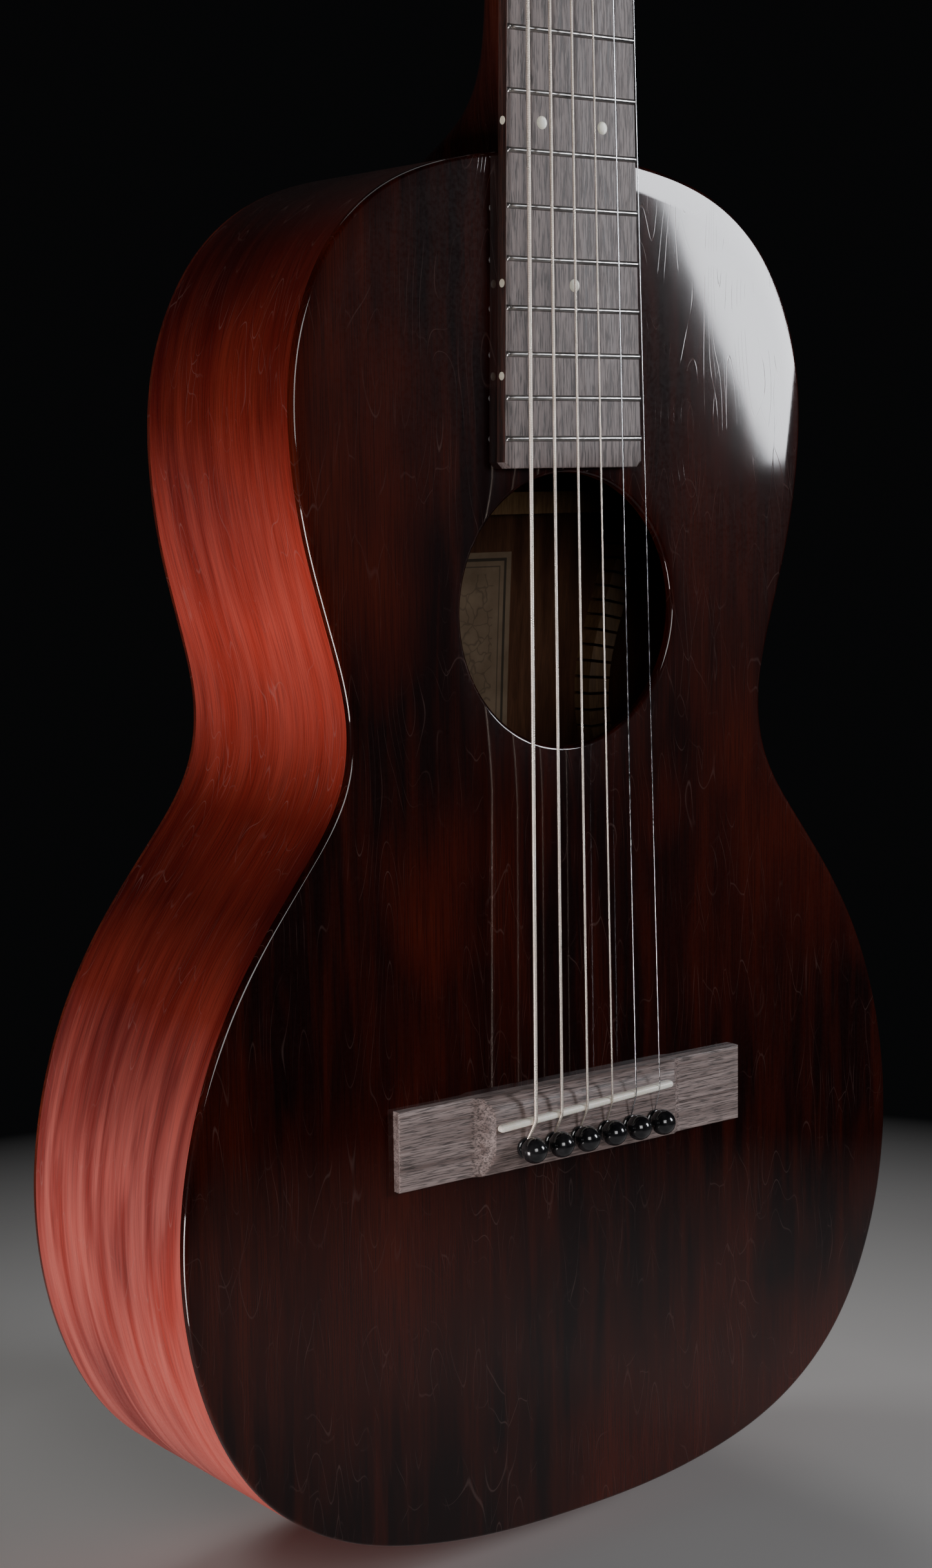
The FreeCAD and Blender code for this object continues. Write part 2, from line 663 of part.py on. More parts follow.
def make_fingerboard():
    body = new_body("fingerboard")
    front = -size("board_thick")
    low = size("board_down")
    plan = sketch_on(body, "XZ_Plane", "fingerboard_plan")
    corner = 2.0
    near = board_half(low)
    far = board_half(SCALE)
    rim = [(-near + corner, low), (near - corner, low), (near - 0.02, low + corner), (far, SCALE),
           (-far, SCALE), (-near + 0.02, low + corner)]
    polygon(plan, rim)
    pad(body, plan, "fingerboard_plank", "Sizes.board_thick")
    slots = sketch_on(body, "XZ_Plane", "fret_slots", offset=size("board_thick"))
    for number in range(1, int(size("fret_count")) + 1):
        z = fret_z(number)
        half = board_half(z) + 1
        low_z = z - FRET_SLOT_WIDE / 2
        high_z = z + FRET_SLOT_WIDE / 2
        polygon(slots, [(-half, low_z), (half, low_z), (half, high_z), (-half, high_z)])
    pocket(body, slots, "fret_slot_cuts", FRET_SLOT_DEEP)
    dots = sketch_on(body, "XZ_Plane", "dot_seats", offset=size("board_thick"))
    for number, x in FACE_DOTS:
        dots.addGeometry(Part.Circle(Vector(x, dot_z(number), 0), Vector(0, 0, 1), size("dot_radius")))
    pocket(body, dots, "dot_seat_cuts", "Sizes.dot_thick")
    # the seats of the side dots run in from the bass edge
    for number in SIDE_DOTS:
        edge = sketch_on(body, "YZ_Plane", "side_seat_%d" % number, offset=-board_half(dot_z(number)))
        middle = Vector(front / 2, dot_z(number), 0)
        edge.addGeometry(Part.Circle(middle, Vector(0, 0, 1), size("side_dot_radius")))
        pocket(body, edge, "side_seat_cut_%d" % number, "Sizes.side_dot_long", reverse=True)
    return keep(body, "fingerboard")


def make_markers():
    front = -size("board_thick")
    face = []
    for number, x in FACE_DOTS:
        place = at(x, front, dot_z(number), ALONG_Y)
        face.append(primitive("Part::Cylinder", "face_dot_%d" % number, place,
                              Radius="Sizes.dot_radius", Height="Sizes.dot_thick"))
    keep(grouped("face_dot_set", face), "face_dots")
    side = []
    for number in SIDE_DOTS:
        z = dot_z(number)
        place = at(-board_half(z), front / 2, z, ALONG_X)
        side.append(primitive("Part::Cylinder", "side_dot_%d" % number, place,
                              Radius="Sizes.side_dot_radius", Height="Sizes.side_dot_long"))
    keep(grouped("side_dot_set", side), "side_dots")


def make_frets():
    """Eighteen lengths of fret wire: a low crown on the board and a tang in its slot."""
    wide = size("fret_wide")
    tall = size("fret_tall")
    front = -size("board_thick")
    wires = []
    for number in range(1, int(size("fret_count")) + 1):
        z = fret_z(number)
        half = board_half(z) - 0.15
        crown = Part.Arc(Vector(-half, front, z - wide / 2), Vector(-half, front - tall, z),
                         Vector(-half, front, z + wide / 2)).toShape()
        foot = Part.makeLine(Vector(-half, front, z - wide / 2), Vector(-half, front, z + wide / 2))
        bead = Part.Face(Part.Wire([crown, foot])).extrude(Vector(2 * half, 0, 0))
        tang = block(-half, half, front, front + 1.9, z - 0.26, z + 0.26)
        wires.append(bead.fuse(tang))
    return keep(feature("fret_wires", Part.makeCompound(wires)), "frets")


def string_line(index):
    """Points where a string leaves the nut, towards the neck, and crosses the saddle's crown."""
    radius, x_nut, x_saddle = STRINGS[index][1:4]
    at_nut = Vector(x_nut, -(size("board_thick") + size("nut_clear") + radius), SCALE + 0.2)
    share = (x_saddle - SADDLE_LOW_END[0]) / (SADDLE_HIGH_END[0] - SADDLE_LOW_END[0])
    z = SADDLE_LOW_END[1] + share * (SADDLE_HIGH_END[1] - SADDLE_LOW_END[1])
    at_saddle = Vector(x_saddle, -(size("saddle_tall") + radius + 0.12), z)
    return at_nut, at_saddle


NUT_SLOT_ROOM = 0.05


def make_nut():
    body = new_body("nut")
    profile = sketch_on(body, "YZ_Plane", "nut_profile")
    tall = size("nut_tall")
    low = SCALE
    high = NUT_TOP
    polygon(profile, [(0, low), (-tall, low), (-tall, low + 3.4), (-tall + 1.2, high), (0, high)])
    pad(body, profile, "nut_blank", "2 * Sizes.board_half_nut", middle=True)
    slots = sketch_on(body, "XY_Plane", "nut_slots", offset=low - 1)
    for string in STRINGS:
        half = string[1] + NUT_SLOT_ROOM
        bottom = -(size("board_thick") + size("nut_clear") - NUT_SLOT_ROOM)
        x = string[2]
        polygon(slots, [(x - half, bottom), (x + half, bottom), (x + half, -tall - 1), (x - half, -tall - 1)])
    pocket(body, slots, "nut_slot_cuts", size("nut_long") + 2, reverse=True)
    return keep(body, "nut")


# ---------------------------------------------------------------- bridge, saddle and pins
BRIDGE_FLAT = 39.5          # half the raised middle
BRIDGE_FOOT = 47.0          # where each scooped step meets its wing
EDGE_LOW = 5.0              # height of the middle at its upper and lower edges


def make_bridge():
    body = new_body("bridge")
    half = size("bridge_half")
    wing = size("wing_tall")
    tall = size("bridge_tall")
    up = size("bridge_up")
    down = up - size("bridge_long")
    # side view: a crown between two lower edges
    crown = sketch_on(body, "YZ_Plane", "bridge_crown")
    polygon(crown, [(0, down), (-EDGE_LOW, down), (-tall + 0.6, down + 6), (-tall, down + 10),
                    (-tall, up - 7), (-tall + 0.7, up - 3.5), (-EDGE_LOW, up), (0, up)])
    pad(body, crown, "bridge_blank", "2 * Sizes.bridge_half", middle=True)
    # front view: the wood over the wings is carved away, with a hollow step up to the middle
    carve = sketch_on(body, "XY_Plane", "bridge_wings", offset=down - 1)
    for side in (-1, 1):
        foot = Vector(side * BRIDGE_FOOT, -wing, 0)
        top = Vector(side * BRIDGE_FLAT, -tall - 1, 0)
        bend = Vector(side * (BRIDGE_FLAT + 1.9), -wing - 1.9, 0)
        end = Vector(side * (half + 1), -wing, 0)
        high = Vector(side * (half + 1), -tall - 1, 0)
        carve.addGeometry(Part.Arc(top, bend, foot))
        carve.addGeometry(Part.LineSegment(foot, end))
        carve.addGeometry(Part.LineSegment(end, high))
        carve.addGeometry(Part.LineSegment(high, top))
    pocket(body, carve, "bridge_wing_cuts", size("bridge_long") + 2, reverse=True)
    holes = sketch_on(body, "XZ_Plane", "bridge_pin_holes")
    for index in range(len(STRINGS)):
        spot = pin_place(index)
        holes.addGeometry(Part.Circle(Vector(spot.x, spot.z, 0), Vector(0, 0, 1), PIN_HOLE))
    pocket(body, holes, "bridge_pin_bores", None, through=True)
    slot = sketch_on(body, "XZ_Plane", "saddle_slot", offset=tall + 1)
    saddle_outline(slot, 0.02)
    pocket(body, slot, "saddle_slot_cut", tall + 1 - SADDLE_SEAT)
    return keep(body, "bridge")


SADDLE_SEAT = 3.6           # bottom of the saddle slot above the soundboard


def saddle_outline(sketch, grow):
    """Long slot shape with round ends, slanted so that the bass strings are a little longer."""
    radius = size("saddle_thick") / 2 + grow
    x0, z0 = SADDLE_LOW_END
    x1, z1 = SADDLE_HIGH_END
    along = Vector(x1 - x0, z1 - z0, 0).normalize()
    start = Vector(x0, z0, 0) + along * radius
    end = Vector(x1, z1, 0) - along * radius
    side = Vector(-along.y, along.x, 0) * radius
    sketch.addGeometry(Part.LineSegment(start + side, end + side))
    sketch.addGeometry(Part.LineSegment(start - side, end - side))
    sketch.addGeometry(Part.Arc(start + side, start - along * radius, start - side))
    sketch.addGeometry(Part.Arc(end + side, end + along * radius, end - side))


def make_saddle():
    body = new_body("saddle")
    outline = sketch_on(body, "XZ_Plane", "saddle_outline", offset=SADDLE_SEAT)
    saddle_outline(outline, 0.0)
    blank = pad(body, outline, "saddle_blank", "Sizes.saddle_tall - %s" % SADDLE_SEAT)
    doc.recompute()
    front = -size("saddle_tall")
    crown = [index for index, edge in enumerate(blank.Shape.Edges, start=1)
             if all(abs(vertex.Y - front) < 0.01 for vertex in edge.Vertexes)]
    crowned = body.newObject("PartDesign::Fillet", "saddle_crown")
    crowned.Base = (blank, ["Edge%d" % index for index in crown])
    crowned.Radius = 1.1
    return keep(body, "saddle")


PIN_ROOM = 0.03             # between a pin's shank and its hole
GROOVE_WIDE = 1.6           # string groove of a pin
GROOVE_FLOOR = 1.2          # its floor from the pin's middle
GROOVE_ABOVE = 1.0          # how far it runs up into the collar


def make_bridge_pins():
    """Six ball-headed pins, each with a collar and a slightly tapered shank past the plate."""
    ball = size("pin_ball")
    tall = size("bridge_tall")
    pins = []
    for index in range(len(STRINGS)):
        x = pin_place(index).x
        z = pin_place(index).z
        name = "pin_%d_" % (len(STRINGS) - index)
        shank = primitive("Part::Cone", name + "shank", at(x, -tall, z, ALONG_Y), Radius2="Sizes.pin_tip",
                          Radius1="Sizes.pin_hole - %s" % PIN_ROOM, Height="Sizes.pin_long")
        collar = primitive("Part::Cylinder", name + "collar", at(x, -tall - COLLAR_TALL, z, ALONG_Y),
                           Radius="Sizes.pin_collar", Height="Sizes.pin_collar_tall")
        head = primitive("Part::Sphere", name + "head", at(x, -tall - COLLAR_TALL - ball + BALL_SUNK, z),
                         Radius="Sizes.pin_ball")
        solid = fused(name + "turning", shank, collar, head)
        start = at(x - GROOVE_WIDE / 2, -tall - COLLAR_TALL - GROOVE_ABOVE, z + GROOVE_FLOOR)
        groove = primitive("Part::Box", name + "groove", start, Length=GROOVE_WIDE,
                           Width="Sizes.pin_long + 3 * Sizes.pin_collar_tall", Height="Sizes.pin_collar")
        pins.append(less(name + "grooved", solid, groove))
    return keep(grouped("bridge_pin_set", pins), "bridge_pins")


# ---------------------------------------------------------------- strings
def rod(start, end, radius):
    along = end - start
    return Part.makeCylinder(radius, along.Length, start, along)


def wire_through(points, radius):
    """Round wire of straight runs with a ball at each bend, so that the runs close up."""
    runs = [rod(a, b, radius) for a, b in zip(points, points[1:])]
    balls = [Part.makeSphere(radius, point) for point in points[1:-1]]
    return runs[0].fuse(runs[1:] + balls)


WIND_X = {0: 12.6, 1: 12.2, 2: 12.8}      # where each string meets its roller, from the middle
TURN_GAP = 0.35                            # between the still string and its turns on the roller


def roller_touch(index):
    """Point, in the guitar frame, where a string comes to the front of its roller."""
    radius = STRINGS[index][1]
    side, place = STRINGS[index][5]
    reach = size("roller_radius") + 0.03 + radius
    return HEAD_TURN.multVec(Vector(side * WIND_X[place], size("roller_deep") - reach, roller_height(place)))


PLATE_BACK_Y = TOP + PLATE_TALL            # inner face of the bridge plate


def string_points(index):
    radius = STRINGS[index][1]
    x_pin = STRINGS[index][4]
    at_nut, at_saddle = string_line(index)
    tall = size("bridge_tall")
    groove_z = -size("pin_down") + PIN_HOLE - 0.04 - radius
    ball = Vector(x_pin, PLATE_BACK_Y + size("ball_radius") + 0.02, -size("pin_down") + PIN_HOLE + 1.6)
    inside = Vector(x_pin, PLATE_BACK_Y + 0.7, groove_z)
    exit_point = Vector(x_pin, -tall - radius - 0.05, groove_z)
    back_of_nut = Vector(at_nut.x, at_nut.y, NUT_TOP + 0.4)
    return [ball, inside, exit_point, at_saddle, at_nut, back_of_nut, roller_touch(index)]


def make_strings():
    ends = []
    for index, string in enumerate(STRINGS):
        label, radius = string[:2]
        points = string_points(index)
        keep(feature(label + "_wire", wire_through(points, radius)), label)
        centre = points[0]
        start = at(centre.x - size("ball_long") / 2, centre.y, centre.z, ALONG_X)
        ball = primitive("Part::Cylinder", label + "_ball", start,
                         Radius="Sizes.ball_radius", Height="Sizes.ball_long")
        along = points[1] - centre
        start = Placement(centre, Rotation(Vector(0, 0, 1), along))
        tail = primitive("Part::Cylinder", label + "_tail", start, Radius=radius, Height=along.Length)
        ends.append(less(label + "_ball_end", ball, tail))
    keep(grouped("ball_end_set", ends), "ball_ends")


# ---------------------------------------------------------------- tuners
PITCH = math.pi * size("tooth_module")                      # worm's axial pitch, a single thread
GEAR_PITCH_RADIUS = size("tooth_module") * size("tooth_count") / 2
MESH_DISTANCE = GEAR_PITCH_RADIUS + size("worm_pitch_radius") + size("mesh_extra")
GEAR_THICK = 4.0
GEAR_TIP = GEAR_PITCH_RADIUS + 0.55
GEAR_ROOT = GEAR_PITCH_RADIUS - 1.05
WORM_TIP = size("worm_pitch_radius") + 0.72
WORM_ROOT = size("worm_pitch_radius") - 0.78
PLATE_OUTER = size("head_half") + size("plate_thick")
GEAR_MIDDLE = PLATE_OUTER + WORM_TIP + 0.35                 # the worms just clear the strips
WORM_TURNS = 3
JOURNAL = 1.5
JOURNAL_GAP = 0.06
EAR_NEAR = 5.3              # inner face of each ear from the worm's middle
BUTTON_START = 26.0         # button's inner end behind the head's face
BUTTON_LONG = 15.0
SHOULDER_GAP = 0.05         # roller's shoulder from its gear
SQUARE_HALF = 1.7           # half the roller's squared end
COLLAR_GAP = 0.2            # roller's collar from the strip
ROLLER_COLLAR = 4.3
SCREW_RADIUS = 0.97         # screw that holds the gear on the roller
SCREW_DEEP = 6.0
SCREW_ROOM = 0.03
TURN_PITCH = 1.06           # spacing of the string's turns, in string diameters
WOUND_FROM = 0.35           # strings thicker than this make three turns, the rest four
LEAD_ANGLE = math.degrees(math.atan(PITCH / (2 * math.pi * size("worm_pitch_radius"))))


def tuner_frame(side, place):
    """Placement of a tuner's gear centre: x outwards on the treble side."""
    centre = Vector(side * GEAR_MIDDLE, size("roller_deep"), roller_height(place))
    return HEAD * Placement(centre, Rotation())


def make_roller(side, place, label, wire_radius):
    """String roller: barrel through the slot, squared outer end for its gear, and the string's turns."""
    radius = size("roller_radius")
    frame = tuner_frame(side, place)
    inner = size("slot_inner") - RIB_BORE - GEAR_MIDDLE
    shoulder = -GEAR_THICK / 2 - SHOULDER_GAP
    barrel = primitive("Part::Cylinder", label + "_barrel", outward(side, inner, 0, 0), frame,
                       Radius="Sizes.roller_radius", Height=shoulder - inner)
    half = SQUARE_HALF
    square = box_at(label + "_square", side, shoulder, shoulder + GEAR_THICK, -half, half, -half, half, frame)
    collar_start = PLATE_OUTER + COLLAR_GAP - GEAR_MIDDLE
    collar = primitive("Part::Cylinder", label + "_collar", outward(side, collar_start, 0, 0), frame,
                       Radius=ROLLER_COLLAR, Height=shoulder - collar_start)
    turned = fused(label + "_turning", barrel, square, collar)
    screw_start = shoulder + GEAR_THICK - SCREW_DEEP
    screw_hole = primitive("Part::Cylinder", label + "_screw_hole", outward(side, screw_start, 0, 0), frame,
                           Radius=SCREW_RADIUS + SCREW_ROOM, Height=SCREW_DEEP + 1)
    first = WIND_X[place] - GEAR_MIDDLE + 2 * wire_radius + TURN_GAP
    pitch = 2 * wire_radius * TURN_PITCH
    turns = 3 if wire_radius > WOUND_FROM else 4
    hole_x = first + pitch * turns + 0.2
    start = at(side * hole_x, -2 * radius, 0, ALONG_Y)
    string_hole = primitive("Part::Cylinder", label + "_string_hole", start, frame,
                            Radius=wire_radius + 0.12, Height="4 * Sizes.roller_radius")
    pieces = [less(label + "_drilled", turned, screw_hole, string_hole)]
    for turn in range(turns):
        pieces.append(primitive("Part::Torus", label + "_turn_%d" % turn,
                                at(side * (first + pitch * turn), 0, 0, ALONG_X), frame,
                                Radius1=radius + 0.03 + wire_radius, Radius2=wire_radius))
    keep(grouped(label + "_set", pieces), label)


def make_gear(side, place, label):
    """Worm gear whose slanted teeth follow the worm's lead, with the screw that holds it."""
    half = GEAR_THICK / 2
    disc = Part.makeCylinder(GEAR_ROOT + 0.05, GEAR_THICK, Vector(-half, 0, 0), Vector(1, 0, 0))
    corners = [(-0.80, GEAR_ROOT - 0.4), (-0.62, GEAR_ROOT + 0.25), (-0.30, GEAR_TIP),
               (0.30, GEAR_TIP), (0.62, GEAR_ROOT + 0.25), (0.80, GEAR_ROOT - 0.4)]
    outline = [Vector(-half, y, -z) for y, z in corners]
    tooth = Part.Face(Part.makePolygon(outline + outline[:1])).extrude(Vector(GEAR_THICK, 0, 0))
    tooth.rotate(Vector(), Vector(0, 0, 1), LEAD_ANGLE)
    tooth = tooth.common(Part.makeCylinder(GEAR_TIP, GEAR_THICK, Vector(-half, 0, 0), Vector(1, 0, 0)))
    teeth = []
    for number in range(int(size("tooth_count"))):
        copy = tooth.copy()
        copy.rotate(Vector(), Vector(1, 0, 0), number * 360 / size("tooth_count"))
        teeth.append(copy)
    gear = disc.fuse(teeth)
    square = SQUARE_HALF + 0.04
    gear = gear.cut(Part.makeBox(10, 2 * square, 2 * square, Vector(-5, -square, -square)))
    outer = half
    head = Part.makeCylinder(2.9, 1.3, Vector(outer, 0, 0), Vector(1, 0, 0))
    shank = Part.makeCylinder(SCREW_RADIUS, 5.5, Vector(outer - 5.5, 0, 0), Vector(1, 0, 0))
    slot = Part.makeBox(0.7, 8, 0.8, Vector(outer + 0.75, -4, -0.4))
    screw = head.fuse(shank).cut(slot)
    if side < 0:
        screw = screw.mirror(Vector(), Vector(1, 0, 0))
    keep(feature(label + "_disc", Part.makeCompound([gear, screw]), tuner_frame(side, place)), label)


def make_key(side, place, label):
    """Worm and its shaft in one piece, from the front ear to inside the button."""
    start = -WORM_TURNS * PITCH / 2
    core = Part.makeCylinder(WORM_ROOT, 2 * EAR_NEAR - 0.3, Vector(0, 0, -EAR_NEAR + 0.15))
    helix = Part.makeHelix(PITCH, WORM_TURNS * PITCH, WORM_ROOT)
    deep = WORM_ROOT - 0.15
    profile = [Vector(deep, 0, -0.62), Vector(WORM_TIP, 0, -0.28), Vector(WORM_TIP, 0, 0.28),
               Vector(deep, 0, 0.62)]
    thread = Part.Wire(helix).makePipeShell([Part.makePolygon(profile + profile[:1])], True, True)
    thread.translate(Vector(0, 0, start))
    reach = BUTTON_START + BUTTON_LONG - 4 - size("roller_deep")
    front = -EAR_NEAR - size("ear_thick") - 0.8
    shaft = Part.makeCylinder(JOURNAL, reach - front, Vector(0, 0, front))
    key = core.fuse([thread, shaft])
    # worm's z lies along the head's thickness, its x towards the gear
    matrix = FreeCAD.Matrix(0, 1, 0, 0, 0, 0, 1, 0, 1, 0, 0, 0, 0, 0, 0, 1)
    key.transformShape(matrix)
    frame = tuner_frame(side, place) * Placement(Vector(0, 0, -MESH_DISTANCE), Rotation())
    keep(feature(label + "_worm", key, frame), label)


def make_button(side, place, label):
    """Flattened oval finger button on the end of the worm's shaft."""
    rings = []
    for along, wide, thin in ((0, 2.6, 2.6), (2.2, 3.0, 2.8), (5.5, 6.3, 3.5), (9.5, 7.4, 3.4),
                              (13.0, 6.0, 2.8), (15.0, 3.2, 1.8)):
        ring = Part.Ellipse(Vector(), wide, thin).toShape()
        ring.translate(Vector(0, 0, along))
        rings.append(Part.Wire(ring))
    button = Part.makeLoft(rings, True, False)
    button = button.cut(Part.makeCylinder(JOURNAL + 0.01, BUTTON_LONG - 4, Vector()))
    matrix = FreeCAD.Matrix(0, 1, 0, 0, 0, 0, 1, 0, 1, 0, 0, 0, 0, 0, 0, 1)
    button.transformShape(matrix)
    frame = tuner_frame(side, place) * Placement(
        Vector(0, BUTTON_START - size("roller_deep"), -MESH_DISTANCE), Rotation())
    keep(feature(label + "_grip", button, frame), label)


PLATE_FRONT = 3.2           # front edge of the tuner plate behind the head's face
PLATE_BACK = 19.6
PLATE_LOW = 30.0
PLATE_HIGH = 134.0


def make_tuner_plate(side, label):
    """Strip screwed to the head's side with a pair of ears for each worm."""
    inner = size("head_half")
    thick = size("plate_thick")
    deep = size("roller_deep")
    ear_thick = size("ear_thick")
    ear_radius = size("ear_radius")
    solids = [box_at(label + "_strip", side, inner, inner + thick,
                     PLATE_FRONT, PLATE_BACK, PLATE_LOW, PLATE_HIGH, HEAD)]
    cuts = []
    for place in range(3):
        z = roller_height(place)
        worm_z = z - MESH_DISTANCE
        for name, y0 in (("front", deep - EAR_NEAR - ear_thick), ("back", deep + EAR_NEAR)):
            ear = "%s_%s_ear_%d" % (label, name, place)
            solids.append(box_at(ear, side, inner, GEAR_MIDDLE, y0, y0 + ear_thick,
                                 worm_z - ear_radius, worm_z + ear_radius, HEAD))
            solids.append(primitive("Part::Cylinder", ear + "_end",
                                    at(side * GEAR_MIDDLE, y0, worm_z, ALONG_Y), HEAD,
                                    Radius="Sizes.ear_radius", Height="Sizes.ear_thick"))
        cuts.append(primitive("Part::Cylinder", "%s_roller_hole_%d" % (label, place),
                              outward(side, inner - 5, deep, z), HEAD,
                              Radius="Sizes.roller_radius + %s" % PLATE_ROOM, Height=10))
        cuts.append(primitive("Part::Cylinder", "%s_worm_bore_%d" % (label, place),
                              at(side * GEAR_MIDDLE, deep - 15, worm_z, ALONG_Y), HEAD,
                              Radius=JOURNAL + JOURNAL_GAP, Height=30))
    for number, z in enumerate(PLATE_SCREWS, start=1):
        cuts.append(primitive("Part::Cylinder", "%s_screw_hole_%d" % (label, number),
                              outward(side, inner - 5, deep, z), HEAD,
                              Radius="Sizes.screw_shank + 0.1", Height=10))
    keep(less(label + "_drilled", fused(label + "_pressing", *solids), *cuts), label)


PLATE_ROOM = 0.25           # radial room round each roller in the strip
DOME_RADIUS = 2.6           # ball that a screw's head is part of
DOME_SUNK = 1.7             # that ball's middle inside the strip's face
SLOT_HALF = 0.35            # half the driver slot
SLOT_FLOOR = 0.4            # floor of the driver slot above the strip
SHANK_LONG = 9.0


def plate_screw(side, number):
    """Small wood screw with a domed and slotted head."""
    face = size("head_half") + size("plate_thick")
    deep = size("roller_deep")
    z = PLATE_SCREWS[number - 1]
    name = "%s_screw_%d_" % ("bass" if side < 0 else "treble", number)
    middle = at(side * (face - DOME_SUNK), deep, z)
    ball = primitive("Part::Sphere", name + "ball", middle, HEAD, Radius=DOME_RADIUS)
    reach = DOME_RADIUS + 1
    room = box_at(name + "room", side, face, face + reach,
                  deep - reach, deep + reach, z - reach, z + reach, HEAD)
    head = doc.addObject("Part::MultiCommon", name + "head")
    head.Shapes = [ball, room]
    shank_start = face + 0.1 - SHANK_LONG
    shank = primitive("Part::Cylinder", name + "shank", outward(side, shank_start, deep, z), HEAD,
                      Radius="Sizes.screw_shank", Height=SHANK_LONG)
    slot = box_at(name + "slot", side, face + SLOT_FLOOR, face + reach, deep - reach, deep + reach,
                  z - SLOT_HALF, z + SLOT_HALF, HEAD)
    return less(name + "slotted", fused(name + "blank", head, shank), slot)


def make_tuners():
    for string in STRINGS:
        number = string[0].split("_")[1]
        side, place = string[5]
        make_roller(side, place, "tuner_roller_" + number, string[1])
        make_gear(side, place, "tuner_gear_" + number)
        make_key(side, place, "tuner_key_" + number)
        make_button(side, place, "tuner_button_" + number)
    make_tuner_plate(-1, "tuner_plate_bass")
    make_tuner_plate(1, "tuner_plate_treble")
    screws = [plate_screw(side, number) for side in (-1, 1) for number in range(1, len(PLATE_SCREWS) + 1)]
    keep(grouped("plate_screw_set", screws), "plate_screws")


# ---------------------------------------------------------------- build, check and write
make_soundboard()
make_shell()
make_braces()
make_end_pin()
make_neck()
make_head_veneer()
make_fingerboard()
make_markers()
make_frets()
make_nut()
make_bridge()
make_saddle()
make_bridge_pins()
make_strings()
make_tuners()
doc.recompute()

for item in doc.Objects:
    if "Invalid" in item.State or "Error" in item.State:
        raise RuntimeError("%s failed: %s" % (item.Label, item.State))
os.makedirs("parts", exist_ok=True)
for item in nodes:
    if item.Shape.isNull() or not item.Shape.isValid() or not item.Shape.Solids:
        raise RuntimeError("%s has no valid solid" % item.Label)
for item in nodes:
    item.Shape.exportStep(os.path.join("parts", item.Label + ".step"))
print(len(nodes), "nodes")
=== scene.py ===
"""Looks of a small-body, all-mahogany acoustic guitar with a slotted head.

Lengths in the tables below are millimetres in the guitar's own frame, as at() reads them:
x towards the treble side, y from the soundboard's face towards the back, z up the neck from
the saddle line. Meshes are in metres in the row frame.
"""
import math

import bmesh
import bpy
import numpy as np
from mathutils import Matrix, Vector


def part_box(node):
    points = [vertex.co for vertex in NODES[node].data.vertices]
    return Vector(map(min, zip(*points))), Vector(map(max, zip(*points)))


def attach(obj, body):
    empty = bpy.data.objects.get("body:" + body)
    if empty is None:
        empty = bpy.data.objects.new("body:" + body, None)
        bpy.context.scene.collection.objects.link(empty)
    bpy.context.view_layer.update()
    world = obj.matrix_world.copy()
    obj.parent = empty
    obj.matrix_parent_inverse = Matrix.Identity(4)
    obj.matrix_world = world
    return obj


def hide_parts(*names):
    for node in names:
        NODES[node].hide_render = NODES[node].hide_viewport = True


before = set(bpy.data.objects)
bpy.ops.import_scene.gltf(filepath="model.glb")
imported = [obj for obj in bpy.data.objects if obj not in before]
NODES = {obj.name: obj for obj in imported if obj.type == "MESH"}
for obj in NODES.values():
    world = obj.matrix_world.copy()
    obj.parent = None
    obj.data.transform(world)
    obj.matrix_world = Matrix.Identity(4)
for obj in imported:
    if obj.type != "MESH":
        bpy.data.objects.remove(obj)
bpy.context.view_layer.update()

MM = 0.001

# ---------------- places taken from the frame
TAIL_DOWN = 149.4  # tail below the saddle line
NUT_UP = 627.3  # head's face meets the nut
FACE_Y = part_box("soundboard")[0].y
SADDLE_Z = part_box("soundboard")[0].z + TAIL_DOWN * MM
TOP_THICK = (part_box("soundboard")[1].y - FACE_Y) / MM
BACK_DEEP = (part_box("back")[1].y - FACE_Y) / MM
WAIST_UP = 131.0  # every point of the outline is in plain sight of the waist's middle
DOME_RADIUS = 3300.0
DOME_LOW = -60.0
BACK_THICK = 2.6
SIDE_THICK = 2.0
BOARD_THICK = 4.4
HEAD_TILT = math.radians(14)


def at(x, y, z):
    """Guitar frame in mm to the row frame in metres."""
    return Vector((x * MM, y * MM + FACE_Y, z * MM + SADDLE_Z))


def in_head(x, y, z):
    """Head frame, with z up the head's face and y into its wood, to the row frame."""
    cos, sin = math.cos(HEAD_TILT), math.sin(HEAD_TILT)
    return at(x, y * cos + z * sin, NUT_UP + z * cos - y * sin)


# ---------------- mesh helpers
WELD = 2e-6  # metres within which a CAD mesh's points are one point
FLAT_WITHIN = math.radians(0.6)
SOFT_SHARP = 32  # degrees from which a softened piece's edges stay sharp


def loft(rings, closed=False):
    """Skin over rings of equally many points, with flat ends unless closed; vertices and faces."""
    count = len(rings[0])
    verts = [tuple(p) for ring in rings for p in ring]
    faces = []
    last = len(rings) if closed else len(rings) - 1
    for r in range(last):
        a = r * count
        b = ((r + 1) % len(rings)) * count
        for k in range(count):
            n = (k + 1) % count
            faces.append((a + k, a + n, b + n, b + k))
    if not closed:
        faces.append(tuple(range(count)))
        start = (len(rings) - 1) * count
        faces.append(tuple(range(start, start + count)))
    return verts, faces


def merged(parts):
    """Several (vertices, faces) pairs as one."""
    verts = []
    faces = []
    for part_verts, part_faces in parts:
        base = len(verts)
        verts.extend(part_verts)
        faces.extend(tuple(i + base for i in face) for face in part_faces)
    return verts, faces


def welded(mesh, within=WELD):
    """A mesh's bmesh, with the points that are within a distance made one."""
    work = bmesh.new()
    work.from_mesh(mesh)
    bmesh.ops.remove_doubles(work, verts=work.verts, dist=within)
    return work


def new_object(name, data):
    thing = bpy.data.objects.new(name, data)
    bpy.context.scene.collection.objects.link(thing)
    return thing


